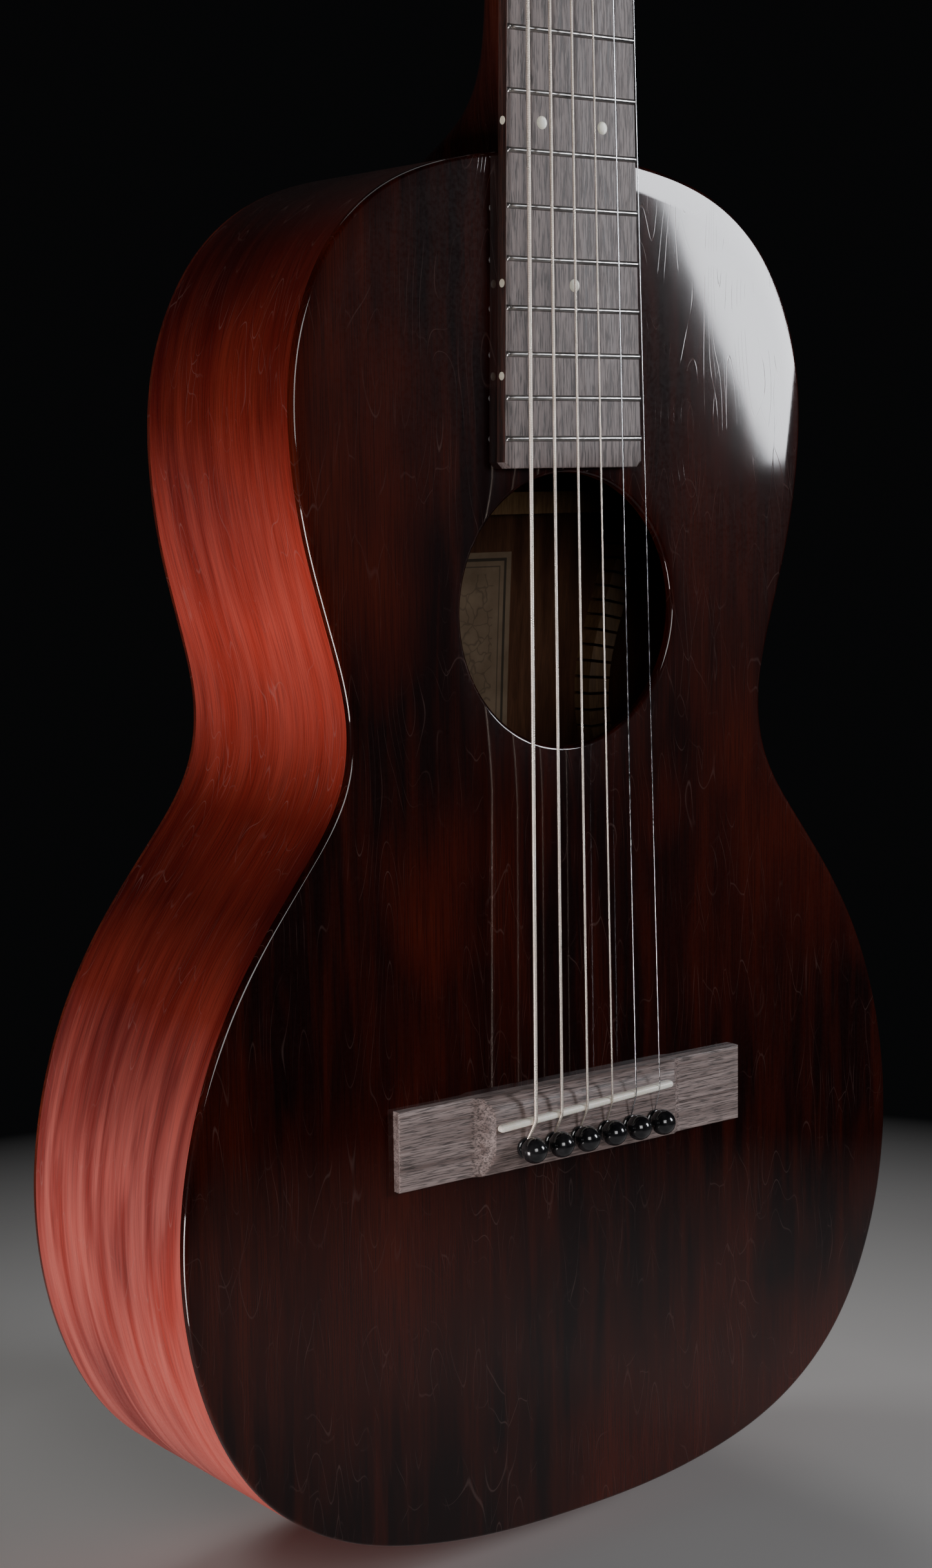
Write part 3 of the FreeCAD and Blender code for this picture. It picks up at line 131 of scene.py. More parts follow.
def make_piece(name, shape, material, nodes, body="root", sharp=35):
    """New piece from vertices and faces in row metres, smooth below the sharp angle."""
    mesh = bpy.data.meshes.new(name)
    mesh.from_pydata(shape[0], [], shape[1])
    work = welded(mesh, 1e-7)
    bmesh.ops.recalc_face_normals(work, faces=work.faces)
    work.to_mesh(mesh)
    work.free()
    return place_mesh(name, mesh, material, nodes, body, sharp)


def place_mesh(name, mesh, material, nodes, body, sharp):
    """Makes a piece of a mesh, hangs it on its body's empty and hides the CAD nodes it stands for."""
    mesh.shade_smooth()
    mesh.set_sharp_from_angle(angle=math.radians(sharp))
    mesh.materials.append(material)
    piece = new_object(name, mesh)
    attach(piece, body)
    if nodes:
        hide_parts(*nodes)
    return piece


def plain_copy(node):
    """Welded mesh of a CAD node with its flat faces whole again."""
    source = NODES[node].data
    mesh = bpy.data.meshes.new(node + "_copy")
    mesh.from_pydata([v.co[:] for v in source.vertices], [], [p.vertices[:] for p in source.polygons])
    work = welded(mesh)
    bmesh.ops.dissolve_limit(work, angle_limit=FLAT_WITHIN, verts=work.verts, edges=work.edges)
    work.to_mesh(mesh)
    work.free()
    return mesh


def softened(node, width, material, body="root", corner=38, segments=2):
    """Copy of a CAD node whose hard edges are rounded by width mm; the copy replaces the node."""
    name = node + "_soft"
    piece = place_mesh(name, plain_copy(node), material, (node,), body, corner)
    bevel = piece.modifiers.new("round", "BEVEL")
    bevel.width = width * MM
    bevel.segments = segments
    bevel.limit_method = "ANGLE"
    bevel.angle_limit = math.radians(corner)
    bpy.context.view_layer.update()
    result = bpy.data.meshes.new_from_object(piece.evaluated_get(bpy.context.evaluated_depsgraph_get()))
    piece.modifiers.clear()
    piece.data = result
    result.shade_smooth()
    result.set_sharp_from_angle(angle=math.radians(SOFT_SHARP))


def full_turn(steps):
    return np.linspace(0, 2 * math.pi, steps, endpoint=False)


def lathe(profile, place, turns=40):
    """Turned shape: profile holds (radius, along) in mm and place maps local x, y, z to the row."""
    return loft([[place(radius * math.cos(a), along, radius * math.sin(a)) for a in full_turn(turns)]
                 for radius, along in profile])


def arc_pairs(radius, steps=4):
    """Quarter round from (radius, 0) to (0, radius)."""
    angles = np.linspace(0, math.pi / 2, steps + 1)
    return [(radius * (1 - math.sin(a)), radius * (1 - math.cos(a))) for a in angles]


# ---------------- body outline, read from the CAD rim
OUTLINE_POINTS = 480
OVERSAMPLE = 6  # finer points per outline point while the curve is fitted
NOTCH_HALF = 14  # half the width of the neck's notch in the soundboard, and its depth
NOTCH_DEEP = 20
FACING = 0.999  # cosine within which a CAD face looks along a direction


def face_loops(node, direction):
    """Edge loops round the faces of a node that look along direction, the most points first."""
    work = welded(NODES[node].data)
    work.normal_update()
    seen = [f for f in work.faces if f.normal.dot(direction) > FACING]
    count = {}
    for face in seen:
        for edge in face.edges:
            count[edge] = count.get(edge, 0) + 1
    links = {}
    for edge, times in count.items():
        if times == 1:
            a, b = edge.verts
            links.setdefault(a, []).append(b)
            links.setdefault(b, []).append(a)
    loops = []
    while links:
        start = next(iter(links))
        loop = [start]
        here = start
        while True:
            ways = [v for v in links.get(here, []) if v in links and v not in loop[1:]]
            ways = [v for v in ways if v is not start or len(loop) > 2]
            if not ways or ways[0] is start:
                break
            loop.append(ways[0])
            here = ways[0]
        for vert in loop:
            links.pop(vert, None)
        loops.append([vert.co.copy() for vert in loop])
    work.free()
    return sorted(loops, key=len, reverse=True)


def flat_points(loop):
    """A loop's x, z in mm."""
    return np.array([(p.x / MM, (p.z - SADDLE_Z) / MM) for p in loop])


def run_lengths(points):
    """Distance along a row of points, from 0 at the first."""
    return np.concatenate([[0], np.cumsum(np.hypot(*np.diff(points, axis=0).T))])


def body_outline():
    """Evenly spaced x, z points round the body, in mm, from the tail up the treble side."""
    loop = face_loops("soundboard", Vector((0, -1, 0)))[0]
    points = flat_points(loop)
    top = points[:, 1].max()
    notch = (np.abs(points[:, 0]) < NOTCH_HALF) & (points[:, 1] > top - NOTCH_DEEP)
    points = points[~notch]
    angle = np.arctan2(points[:, 0], -(points[:, 1] - WAIST_UP))
    points = points[np.argsort(angle)]
    points = np.vstack([points, points[:1]])
    length = run_lengths(points)
    fine = np.linspace(0, length[-1], OVERSAMPLE * OUTLINE_POINTS + 1)[:-1]
    dense = smooth_through(points[:-1], length, fine)
    start = np.argmin(np.abs(dense[:, 0]) + 1000 * (dense[:, 1] > 0))
    dense = np.roll(dense, -start, axis=0)
    return dense[::OVERSAMPLE]


def smooth_through(points, length, where):
    """Closed Catmull-Rom curve through points, read at the given lengths."""
    total = len(points)
    index = np.clip(np.searchsorted(length, where, side="right") - 1, 0, total - 1)
    span = (length[index + 1] - length[index])[:, None]
    share = (where - length[index])[:, None] / span
    p0, p1, p2, p3 = (points[(index + k) % total] for k in (-1, 0, 1, 2))
    before = np.hypot(*(p1 - p0).T)[:, None]
    after = np.hypot(*(p3 - p2).T)[:, None]
    slope1 = (p2 - p0) / (span + before) * span
    slope2 = (p3 - p1) / (span + after) * span
    t2, t3 = share ** 2, share ** 3
    return ((2 * t3 - 3 * t2 + 1) * p1 + (t3 - 2 * t2 + share) * slope1
            + (-2 * t3 + 3 * t2) * p2 + (t3 - t2) * slope2)


OUTLINE = body_outline()
AHEAD = np.roll(OUTLINE, -1, axis=0) - np.roll(OUTLINE, 1, axis=0)
OUTWARD = np.stack([AHEAD[:, 1], -AHEAD[:, 0]], axis=1) / np.hypot(*AHEAD.T)[:, None]
# A quarter of the way round the outline is on the treble side, where outward is towards +x.
if OUTWARD[len(OUTLINE) // 4][0] * OUTLINE[len(OUTLINE) // 4][0] < 0:
    OUTWARD = -OUTWARD
BEARING = np.arctan2(OUTLINE[:, 1] - WAIST_UP, OUTLINE[:, 0])


def sound_hole():
    """Middle and radius of the sound hole in mm, from the CAD soundboard's widest inner loop."""
    best = (0.0, (0.0, 0.0))
    for loop in face_loops("soundboard", Vector((0, -1, 0)))[1:]:
        points = flat_points(loop)
        low, high = points.min(axis=0), points.max(axis=0)
        best = max(best, ((high - low).max() / 2, tuple((low + high) / 2)))
    return best


HOLE_RADIUS, HOLE_MIDDLE = sound_hole()


def rim(inset):
    """Outline moved inwards by inset mm."""
    return OUTLINE - OUTWARD * inset


def hole(grow):
    """Sound-hole circle with its radius grown by grow mm, point for point with the outline."""
    way = np.stack([np.cos(BEARING), np.sin(BEARING)], axis=1)
    return HOLE_MIDDLE + (HOLE_RADIUS + grow) * way


def dome(points, shrink=0.0):
    """Depth of the back's outer face, or of a face further in, below each x, z."""
    reach = points[:, 0] ** 2 + (points[:, 1] - DOME_LOW) ** 2
    return BACK_DEEP - DOME_RADIUS + np.sqrt((DOME_RADIUS - shrink) ** 2 - reach)


def ring_at(points, depth):
    depth = np.broadcast_to(depth, len(points))
    return [at(x, y, z) for (x, z), y in zip(points, depth)]


# ---------------- materials
class Look:
    """A node material in the making; its grain runs along z or x, or along u round a bend."""

    def __init__(self, name, axis="z", **values):
        self.material = bpy.data.materials.new(name)
        self.material.use_nodes = True
        self.tree = self.material.node_tree
        self.shader = self.tree.nodes["Principled BSDF"]
        for key, value in values.items():
            self.shader.inputs[key.replace("_", " ")].default_value = value
        self.axis = axis
        self.place = self.node("TexCoord").outputs["UV" if axis == "u" else "Object"]

    def node(self, kind, values=None, **props):
        item = self.tree.nodes.new("ShaderNode" + kind)
        for key, value in props.items():
            setattr(item, key, value)
        for key, value in (values or {}).items():
            if isinstance(value, bpy.types.NodeSocket):
                self.tree.links.new(value, item.inputs[key])
            else:
                item.inputs[key].default_value = value
        return item

    def scaled(self, x, y, z):
        """Coordinates in cells: each axis divided by a cell size in mm."""
        cells = (1 / (x * MM), 1 / (y * MM), 1 / (z * MM))
        return self.vector("MULTIPLY", self.place, cells)

    def cells(self, across, along):
        """Coordinates in cells drawn out along the grain."""
        sizes = {"z": (across, across, along), "x": (along, across, across), "u": (along, across, 1)}
        return self.scaled(*sizes[self.axis])

    def noise(self, vector, detail=3.0, rough=0.55, warp=0.0):
        item = self.node("TexNoise", {"Vector": vector, "Scale": 1.0, "Detail": detail,
                                      "Roughness": rough, "Distortion": warp})
        return item.outputs["Fac"]

    def warped(self, vector, amount, size):
        """Vector pushed about by soft noise, for wandering lines."""
        item = self.node("TexNoise", {"Vector": vector, "Scale": size, "Detail": 2.0})
        push = self.vector("SUBTRACT", item.outputs["Color"], (0.5, 0.5, 0.5))
        return self.vector("ADD", vector, self.vector("MULTIPLY", push, (amount, amount, amount)))

    def ramp(self, value, *stops):
        """Colour ramp; each stop is (position, colour or grey)."""
        item = self.node("ValToRGB", {"Fac": value})
        points = item.color_ramp.elements
        while len(points) < len(stops):
            points.new(0.5)
        for point, (place, colour) in zip(points, stops):
            point.position = place
            grey = isinstance(colour, (int, float))
            point.color = (colour, colour, colour, 1) if grey else (*colour, 1)
        return item.outputs["Color"]

    def mix(self, share, first, second, blend="MIX"):
        """Mix of two colours; a plain one is given as red, green and blue."""
        colours = [(*colour, 1) if isinstance(colour, tuple) else colour for colour in (first, second)]
        values = {0: share, 6: colours[0], 7: colours[1]}
        return self.node("Mix", values, data_type="RGBA", blend_type=blend).outputs[2]

    def math(self, operation, first, second):
        return self.node("Math", {0: first, 1: second}, operation=operation).outputs[0]

    def times(self, first, second):
        return self.math("MULTIPLY", first, second)

    def shade(self, share, base, factor):
        """Base multiplied by factor, by the given share."""
        return self.mix(share, base, factor, blend="MULTIPLY")

    def vector(self, operation, *values, output="Vector"):
        return self.node("VectorMath", dict(enumerate(values)), operation=operation).outputs[output]

    def edges(self, vector, width):
        """White hair lines between irregular cells."""
        item = self.node("TexVoronoi", {"Vector": vector, "Scale": 1.0}, feature="DISTANCE_TO_EDGE")
        return self.ramp(item.outputs["Distance"], (0.0, 1.0), (width, 0.0))

    def contours(self, value, levels, width):
        """White lines where value crosses evenly spaced levels."""
        stepped = self.math("PINGPONG", self.times(value, levels), 0.5)
        return self.ramp(stepped, (0.0, 1.0), (width, 0.0))

    def bump(self, height, distance, strength=1.0, normal=None):
        item = self.node("Bump", {"Height": height, "Distance": distance * MM, "Strength": strength})
        if normal:
            self.tree.links.new(normal, item.inputs["Normal"])
        return item.outputs["Normal"]

    def blend(self, value, low, high, first, second):
        """From the first colour to the second as value goes from low to high."""
        return self.mix(self.ramp(value, (low, 0.0), (high, 1.0)), first, second)

    def finish(self, base, rough_by, low, high, relief_by, deep, strength):
        """Sets the colour, the roughness between two stops of a value, and the relief."""
        return self.set(Base_Color=base, Roughness=self.ramp(rough_by, low, high),
                        Normal=self.bump(relief_by, deep, strength))

    def set(self, **sockets):
        for key, value in sockets.items():
            self.tree.links.new(value, self.shader.inputs[key.replace("_", " ")])
        return self.material


HAIR_WIDTH = 0.012  # crazing line, as a share of its cell
HAIR_LEVELS = 18  # crazing lines across one swing of the soft noise they follow
HAIR_COLOUR = (0.30, 0.19, 0.17)
PAINTED_LIGHT_SPAN = 0.5  # height in metres that the table of painted shade and painted reflection covers
# pale tint of the painted reflection on the sides
PAINTED_REFLECTION_TINT = (0.75, 0.30, 0.27)


def lacquered_mahogany(name, dark, warm, bright, zone, zone_from, craze, sheen, axis="z", gloss=0.05,
                       coat=1.0, aged=(), spots=()):
    """Old gloss lacquer, crazed with hair lines, on dark stained mahogany.

    aged is a table of painted light by height, (height in mm, share of the colour left, share of pale
    tint): painted shade darkens the colour and a painted reflection mixes in the pale tint. spots holds
    the (x, z, radius, strength) of places where the stain has worn warmer.
    """
    look = Look(name + "_mahogany_lacquered", axis, Coat_Weight=coat, Coat_Roughness=gloss, Coat_IOR=1.5,
                Specular_IOR_Level=sheen)
    squash, stretch = (0.6, 70) if axis == "u" else (0.7, 75)
    grain = look.noise(look.cells(0.5, 24), detail=4)
    bands = look.noise(look.cells(8, 95), detail=3, warp=0.4)
    patches = look.noise(look.cells(zone * squash, zone), detail=2, rough=0.5)
    worn = look.ramp(patches, (zone_from, 0.0), (zone_from + 0.22, 1.0))
    for x, z, radius, strength in spots:
        away = look.vector("DISTANCE", look.place, at(x, 0, z)[:], output="Value")
        spot = look.ramp(look.times(away, 0.5 / (radius * MM)), (0.0, strength), (0.5, 0.0))
        uneven = look.ramp(patches, (0.30, 0.4), (0.55, 1.0))
        worn = look.math("MAXIMUM", worn, look.times(spot, uneven))
    base = look.mix(worn, dark, warm)
    base = look.mix(look.ramp(bands, (0.42, 0.0), (0.75, 0.55)), base, bright)
    base = look.shade(0.7, base, look.ramp(grain, (0.36, 0.4), (0.56, 1.0)))
    lines = look.contours(look.noise(look.cells(20, 110), detail=1.0, warp=0.1), HAIR_LEVELS, HAIR_WIDTH * 3)
    crossing = look.edges(look.warped(look.cells(7, 34), 0.9, 0.5), HAIR_WIDTH)
    patch = look.noise(look.cells(60, stretch), detail=1)
    lines = look.times(lines, look.ramp(patch, (0.34, 0.2), (0.50, 1.0)))
    crossing = look.times(crossing, look.ramp(patch, (0.44, 0.9), (0.60, 0.1)))
    broken = look.ramp(look.noise(look.cells(22, 22), detail=2), (0.44, 0.0), (0.64, 1.0))
    crazing = look.times(look.math("MAXIMUM", lines, crossing), broken)
    if aged:
        # painted light by height: painted shade darkens the colour, and a painted reflection mixes in a pale
        # tint
        height = look.node("SeparateXYZ", {0: look.node("TexCoord").outputs["Object"]}).outputs[2]
        share = look.times(height, 1 / PAINTED_LIGHT_SPAN)
        left = look.ramp(share, *[(up * MM / PAINTED_LIGHT_SPAN, lit_share) for up, lit_share, _ in aged])
        painted_reflection = look.ramp(share, *[(up * MM / PAINTED_LIGHT_SPAN, reflection_share) for up, _, reflection_share in aged])
        painted_reflection = look.times(painted_reflection, look.ramp(bands, (0.35, 0.25), (0.62, 1.0)))
        base = look.mix(painted_reflection, look.shade(1.0, base, left), PAINTED_REFLECTION_TINT)
    base = look.mix(look.times(crazing, craze), base, HAIR_COLOUR)
    dust = look.noise(look.scaled(1.3, 1.3, 1.3), detail=2)
    relief = look.bump(grain, 0.02, 0.25)
    ripple = look.bump(look.noise(look.scaled(24, 24, 30), detail=2), 0.05, 0.2)
    skin = look.bump(look.math("SUBTRACT", 1.0, crazing), 0.009, 0.3, ripple)
    return look.set(Base_Color=base, Roughness=look.ramp(dust, (0.35, 0.38), (0.75, 0.55)),
                    Normal=relief, Coat_Normal=skin)


def raw_wood(name, light, dark, ring=5.0, along=70, axis="z"):
    """Bare wood of the inside: soft streaks along the grain and fine pores."""
    look = Look(name, axis, Roughness=0.6, Specular_IOR_Level=0.3)
    bands = look.noise(look.cells(ring, along), detail=4, warp=0.5)
    pores = look.noise(look.cells(0.5, 14), detail=3)
    base = look.blend(bands, 0.35, 0.68, dark, light)
    base = look.shade(0.6, base, look.ramp(pores, (0.38, 0.55), (0.58, 1.0)))
    return look.finish(base, bands, (0.3, 0.52), (0.7, 0.7), pores, 0.05, 0.4)


def rosewood(name, light, dark, streak_across=2.2, axis="z"):
    """Dry rosewood with dark pencil lines and open pores."""
    look = Look(name, axis, Roughness=0.5, Specular_IOR_Level=0.45)
    lines = look.noise(look.cells(streak_across, 120), detail=4, warp=0.7)
    pores = look.noise(look.cells(0.42, 7.5), detail=3)
    broad = look.noise(look.cells(16, 55), detail=2)
    base = look.blend(lines, 0.36, 0.66, dark, light)
    base = look.mix(look.ramp(broad, (0.4, 0.0), (0.75, 0.45)), base, dark)
    open_pores = look.ramp(pores, (0.40, 0.25), (0.52, 1.0))
    base = look.shade(0.9, base, open_pores)
    return look.finish(base, lines, (0.3, 0.40), (0.7, 0.58), open_pores, 0.07, 0.5)


def ivory_like(name, light, warm, rough=0.32, weight=0.12):
    """Bone, pearl and aged plastic: pale, slightly cloudy and a little translucent."""
    look = Look(name, Roughness=rough, Subsurface_Weight=weight, Subsurface_Scale=0.001)
    cloud = look.noise(look.scaled(6, 6, 9), detail=3)
    speck = look.noise(look.scaled(0.5, 0.5, 0.9), detail=2)
    base = look.blend(cloud, 0.35, 0.7, light, warm)
    base = look.shade(0.25, base, look.ramp(speck, (0.35, 0.75), (0.6, 1.0)))
    return look.finish(base, speck, (0.3, rough - 0.06), (0.7, rough + 0.1), speck, 0.02, 0.3)


def metal(name, bright, dull, rough=0.25, scratch_along_x=False):
    """Worn plating: fine scratches and a few duller, darker clouds."""
    look = Look(name, Metallic=1.0, Roughness=rough)
    lines = look.scaled(6, 0.12, 0.12) if scratch_along_x else look.scaled(0.3, 0.3, 2.5)
    scratches = look.noise(lines, detail=3)
    cloud = look.noise(look.scaled(7, 7, 7), detail=3)
    base = look.blend(cloud, 0.38, 0.72, bright, dull)
    return look.finish(base, scratches, (0.3, rough - 0.08), (0.7, rough + 0.14), scratches, 0.012, 0.35)


WAVE_SCALE = 0.314  # makes one band of the wave texture as long as one cell


def wound_string(name, bright, dull, pitch):
    """Bronze winding: tight turns round the core, seen as rings along the string."""
    look = Look(name, Metallic=0.85, Roughness=0.35)
    wave = look.node("TexWave", {"Vector": look.scaled(pitch, pitch, pitch), "Scale": WAVE_SCALE,
                                 "Distortion": 0.0}, bands_direction="Z").outputs["Fac"]
    stain = look.noise(look.scaled(4, 4, 14), detail=3)
    base = look.blend(stain, 0.35, 0.7, bright, dull)
    base = look.shade(0.4, base, look.ramp(wave, (0.1, 0.45), (0.5, 1.0)))
    return look.finish(base, stain, (0.3, 0.24), (0.7, 0.4), wave, 0.06, 0.7)


def glossy_black(name, tint, grey):
    """Polished black plastic with faint handling marks."""
    look = Look(name, Roughness=0.14, Coat_Weight=0.6, Coat_Roughness=0.05)
    cloud = look.noise(look.scaled(3, 3, 3), detail=4)
    marks = look.noise(look.scaled(0.3, 1.8, 0.3), detail=2)
    base = look.blend(cloud, 0.4, 0.75, tint, grey)
    return look.finish(base, marks, (0.35, 0.10), (0.75, 0.24), marks, 0.008, 0.3)


LABEL_BORDER = 8  # the ruled frame's width


def paper_label():
    """Aged paper with a ruled double frame and a faint mottling inside it, no lettering."""
    look = Look("label_paper_aged", Roughness=0.85)
    low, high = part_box("label")
    middle = (low + high) / 2
    half = (high - low) / 2
    centred = look.vector("SUBTRACT", look.place, middle[:])
    parts = look.node("SeparateXYZ", {0: look.vector("ABSOLUTE", centred)})
    inset_x = look.math("SUBTRACT", half.x, parts.outputs[0])
    inset_z = look.math("SUBTRACT", half.z, parts.outputs[2])
    border = look.times(look.math("MINIMUM", inset_x, inset_z), 1 / (LABEL_BORDER * MM))
    frame_lines = look.ramp(border, (0.0, 0.0), (0.26, 0.0), (0.28, 1.0), (0.40, 1.0), (0.42, 0.0),
                            (0.62, 0.0), (0.64, 0.7), (0.68, 0.7), (0.70, 0.0))
    inner = look.math("GREATER_THAN", border, 1.0)
    scroll = look.edges(look.warped(look.scaled(6, 6, 6), 1.6, 0.7), 0.07)
    mottling = look.times(scroll, look.times(inner, 0.5))
    printed = look.math("MAXIMUM", frame_lines, mottling)
    stain = look.noise(look.scaled(14, 14, 14), detail=4)
    # Paper colours darkened to about half: painted shade inside the body.
    base = look.blend(stain, 0.35, 0.75, (0.22, 0.15, 0.095), (0.14, 0.092, 0.056))
    base = look.mix(printed, base, (0.04, 0.028, 0.018))
    return look.finish(base, stain, (0.3, 0.75), (0.7, 0.95), stain, 0.05, 0.3)


TOP_WOOD = lacquered_mahogany("top", (0.0070, 0.0008, 0.0007), (0.058, 0.0062, 0.0018),
    (0.060, 0.0072, 0.0022), zone=120, zone_from=0.52, craze=0.13, sheen=0.03,
    spots=((-76, -47, 75, 0.95), (104, 74, 60, 0.95), (50, -125, 60, 0.6),
        (83, 45, 55, 0.5), (62, 185, 60, 0.35), (-56, 20, 60, 0.3)))
BACK_WOOD = lacquered_mahogany("back", (0.040, 0.006, 0.004), (0.115, 0.016, 0.008),
    (0.16, 0.026, 0.012), zone=150, zone_from=0.44, craze=0.13, sheen=0.08)
# The sides' height table is painted light: painted shade near the tail, below the waist and towards the
# shoulder, and a painted reflection as a pale tint, strongest over the lower bout.
SIDE_WOOD = lacquered_mahogany("side", (0.13, 0.011, 0.009), (0.33, 0.030, 0.017),
    (0.42, 0.055, 0.030), axis="u", zone=170, zone_from=0.40, craze=0.18,
    gloss=0.25, sheen=0.09, coat=0.08,
    aged=((0, 0.35, 0.0), (60, 0.92, 0.20), (150, 1.0, 0.20), (205, 0.45, 0.01),
        (235, 0.22, 0.0), (262, 0.27, 0.0), (295, 0.65, 0.04), (325, 0.95, 0.06),
        (355, 0.8, 0.05), (390, 0.4, 0.0), (430, 0.16, 0.0), (475, 0.05, 0.0)))
# The neck's colours are darkened nearly to black: painted shade over the neck's own dark mahogany.
NECK_WOOD_WITH_PAINTED_SHADE = lacquered_mahogany("neck", (0.007, 0.0018, 0.0014), (0.030, 0.006, 0.0035),
    (0.045, 0.009, 0.005), zone=110, zone_from=0.45, craze=0.06, sheen=0.08)
# The inside's raw mahogany and braces are darkened to about half their colour: painted shade inside the body.
RAW_COLOURS_WITH_PAINTED_SHADE = (0.105, 0.042, 0.019), (0.055, 0.020, 0.009)
RAW_MAHOGANY = raw_wood("raw_mahogany", *RAW_COLOURS_WITH_PAINTED_SHADE)
RAW_SIDE = raw_wood("raw_mahogany_side", *RAW_COLOURS_WITH_PAINTED_SHADE, axis="u")
BRACE_WOOD_WITH_PAINTED_SHADE = raw_wood("brace_spruce", (0.27, 0.155, 0.075), (0.18, 0.095, 0.042), ring=1.6, along=120)
LINING_WOOD = raw_wood("lining_wood_raw", (0.25, 0.14, 0.065), (0.15, 0.078, 0.034), ring=3.0, along=20)
BLOCK_WOOD = raw_wood("block_mahogany", (0.34, 0.16, 0.075), (0.20, 0.085, 0.04), ring=4.0)
BOARD_WOOD = rosewood("rosewood_board", (0.270, 0.225, 0.215), (0.130, 0.098, 0.092), streak_across=1.4)
BOARD_EDGE = rosewood("rosewood_board_edge", (0.055, 0.018, 0.012), (0.020, 0.007, 0.005))
BRIDGE_WOOD = rosewood("rosewood_bridge", (0.380, 0.295, 0.275), (0.150, 0.105, 0.095), streak_across=1.8,
    axis="x")
VENEER_WOOD = rosewood("rosewood_veneer", (0.075, 0.040, 0.030), (0.024, 0.012, 0.010))
BONE = ivory_like("bone_polished", (0.95, 0.91, 0.83), (0.86, 0.78, 0.66))
PEARL = ivory_like("pearl_dot", (0.66, 0.62, 0.50), (0.50, 0.46, 0.36), rough=0.22)
OLD_PLASTIC = ivory_like("aged_button", (0.78, 0.68, 0.47), (0.66, 0.52, 0.30), rough=0.25, weight=0.2)
FRET_METAL = metal("fret_nickel_silver", (0.52, 0.51, 0.50), (0.32, 0.31, 0.30), 0.30, scratch_along_x=True)
NICKEL = metal("nickel_plate", (0.72, 0.69, 0.63), (0.42, 0.38, 0.33), 0.26)
BRASS = metal("brass_gear", (0.78, 0.56, 0.25), (0.42, 0.27, 0.11), 0.32)
STEEL = metal("plain_steel_string", (0.80, 0.82, 0.86), (0.60, 0.62, 0.66), 0.16)
BLACK = glossy_black("black_plastic_gloss", (0.006, 0.006, 0.007), (0.022, 0.021, 0.022))


# ---------------- body
EDGE_ROUND = 1.4
HOLE_ROUND = 1.4
BLEND_SHARES = (0.08, 0.2, 0.35, 0.5, 0.65, 0.8, 0.92)  # rings between the hole and the rim
BACK_SHARES = (0.02, 0.1, 0.2, 0.3, 0.4, 0.5, 0.6, 0.7, 0.8, 0.9, 0.96)
SIDE_SHARES = (0.0, 0.25, 0.5, 0.75, 1.0)


def between(first, second, share):
    return first * (1 - share) + second * share


def make_top():
    """Soundboard: flat plate with a rounded rim and a softened sound-hole edge."""
    front = [ring_at(hole(inset), depth) for inset, depth in reversed(arc_pairs(HOLE_ROUND))]
    inner = hole(HOLE_ROUND)
    outer = rim(EDGE_ROUND)
    front += [ring_at(between(inner, outer, share), 0.0) for share in BLEND_SHARES]
    front += [ring_at(rim(inset), depth) for inset, depth in arc_pairs(EDGE_ROUND)]
    behind = [ring_at(rim(0), TOP_THICK)]
    behind += [ring_at(between(inner, outer, share), TOP_THICK) for share in reversed(BLEND_SHARES)]
    behind += [ring_at(hole(0), TOP_THICK)]
    shape = loft(front + behind, closed=True)
    piece = make_piece("soundboard_lacquered", shape, TOP_WOOD, ("soundboard",))
    second_where(piece, lambda face: face.normal.y > 0.9, RAW_MAHOGANY)


def second_where(piece, test, material):
    """Gives the faces that pass the test a second material."""
    piece.data.materials.append(material)
    for face in piece.data.polygons:
        if test(face):
            face.material_index = 1


def make_back():
    """Arched back: its outer face, rounded rim and raw inner face."""
    middle = np.zeros_like(OUTLINE) + np.array([0.0, WAIST_UP])
    outer = rim(EDGE_ROUND)
    rings = [ring_at(p, dome(p)) for p in (between(middle, outer, share) for share in BACK_SHARES)]
    for inset, depth in arc_pairs(EDGE_ROUND):
        p = rim(inset)
        rings.append(ring_at(p, dome(p) - depth))
    inside = [rim(0)] + [between(middle, outer, share) for share in reversed(BACK_SHARES)]
    rings += [ring_at(p, dome(p, BACK_THICK)) for p in inside]
    piece = make_piece("back_lacquered", loft(rings), BACK_WOOD, ("back",))
    second_where(piece, lambda face: face.normal.y < -0.9, RAW_MAHOGANY)


def make_side(name, node, first, last):
    """Bent side between two places on the outline, with its grain running round the body."""
    index = [k % OUTLINE_POINTS for k in range(first, last + 1)]
    outer = OUTLINE[index]
    inner = rim(SIDE_THICK)[index]
    columns = [ring_at(outer, between(TOP_THICK, dome(outer, BACK_THICK), s)) for s in SIDE_SHARES]
    columns += [ring_at(inner, between(TOP_THICK, dome(inner, BACK_THICK), s)) for s in reversed(SIDE_SHARES)]
    piece = make_piece(name, loft(list(zip(*columns))), SIDE_WOOD, (node,), sharp=50)
    along = run_lengths(outer) * MM
    flat = np.array([(p.x, p.z) for p in ring_at(outer, 0)])
    layer = piece.data.uv_layers.new(name="grain")
    for loop in piece.data.loops:
        co = piece.data.vertices[loop.vertex_index].co
        layer.data[loop.index].uv = (along[nearest(flat, co)], co.y)  # metres, along the bend and across it
    second_where(piece, lambda face: is_inner(face, flat), RAW_SIDE)


def nearest(flat, place):
    """Number of the x, z point that is nearest to a place."""
    return np.argmin((flat[:, 0] - place.x) ** 2 + (flat[:, 1] - place.z) ** 2)


def is_inner(face, flat):
    """True where a side's face looks into the body."""
    x, z = flat[nearest(flat, face.center)]
    return math.hypot(face.center.x - x, face.center.z - z) > SIDE_THICK * MM * 0.8


KERF_STEP = 5.6
KERF_WIDE = 1.0
LINING_DEEP = 6.0
LINING_TALL = 13.0
LINING_TAPER = 4.5
BLOCK_HALF = 36  # the linings stop at the neck block and the tail block
NECK_BLOCK_UP = 250
TAIL_BLOCK_UP = -100


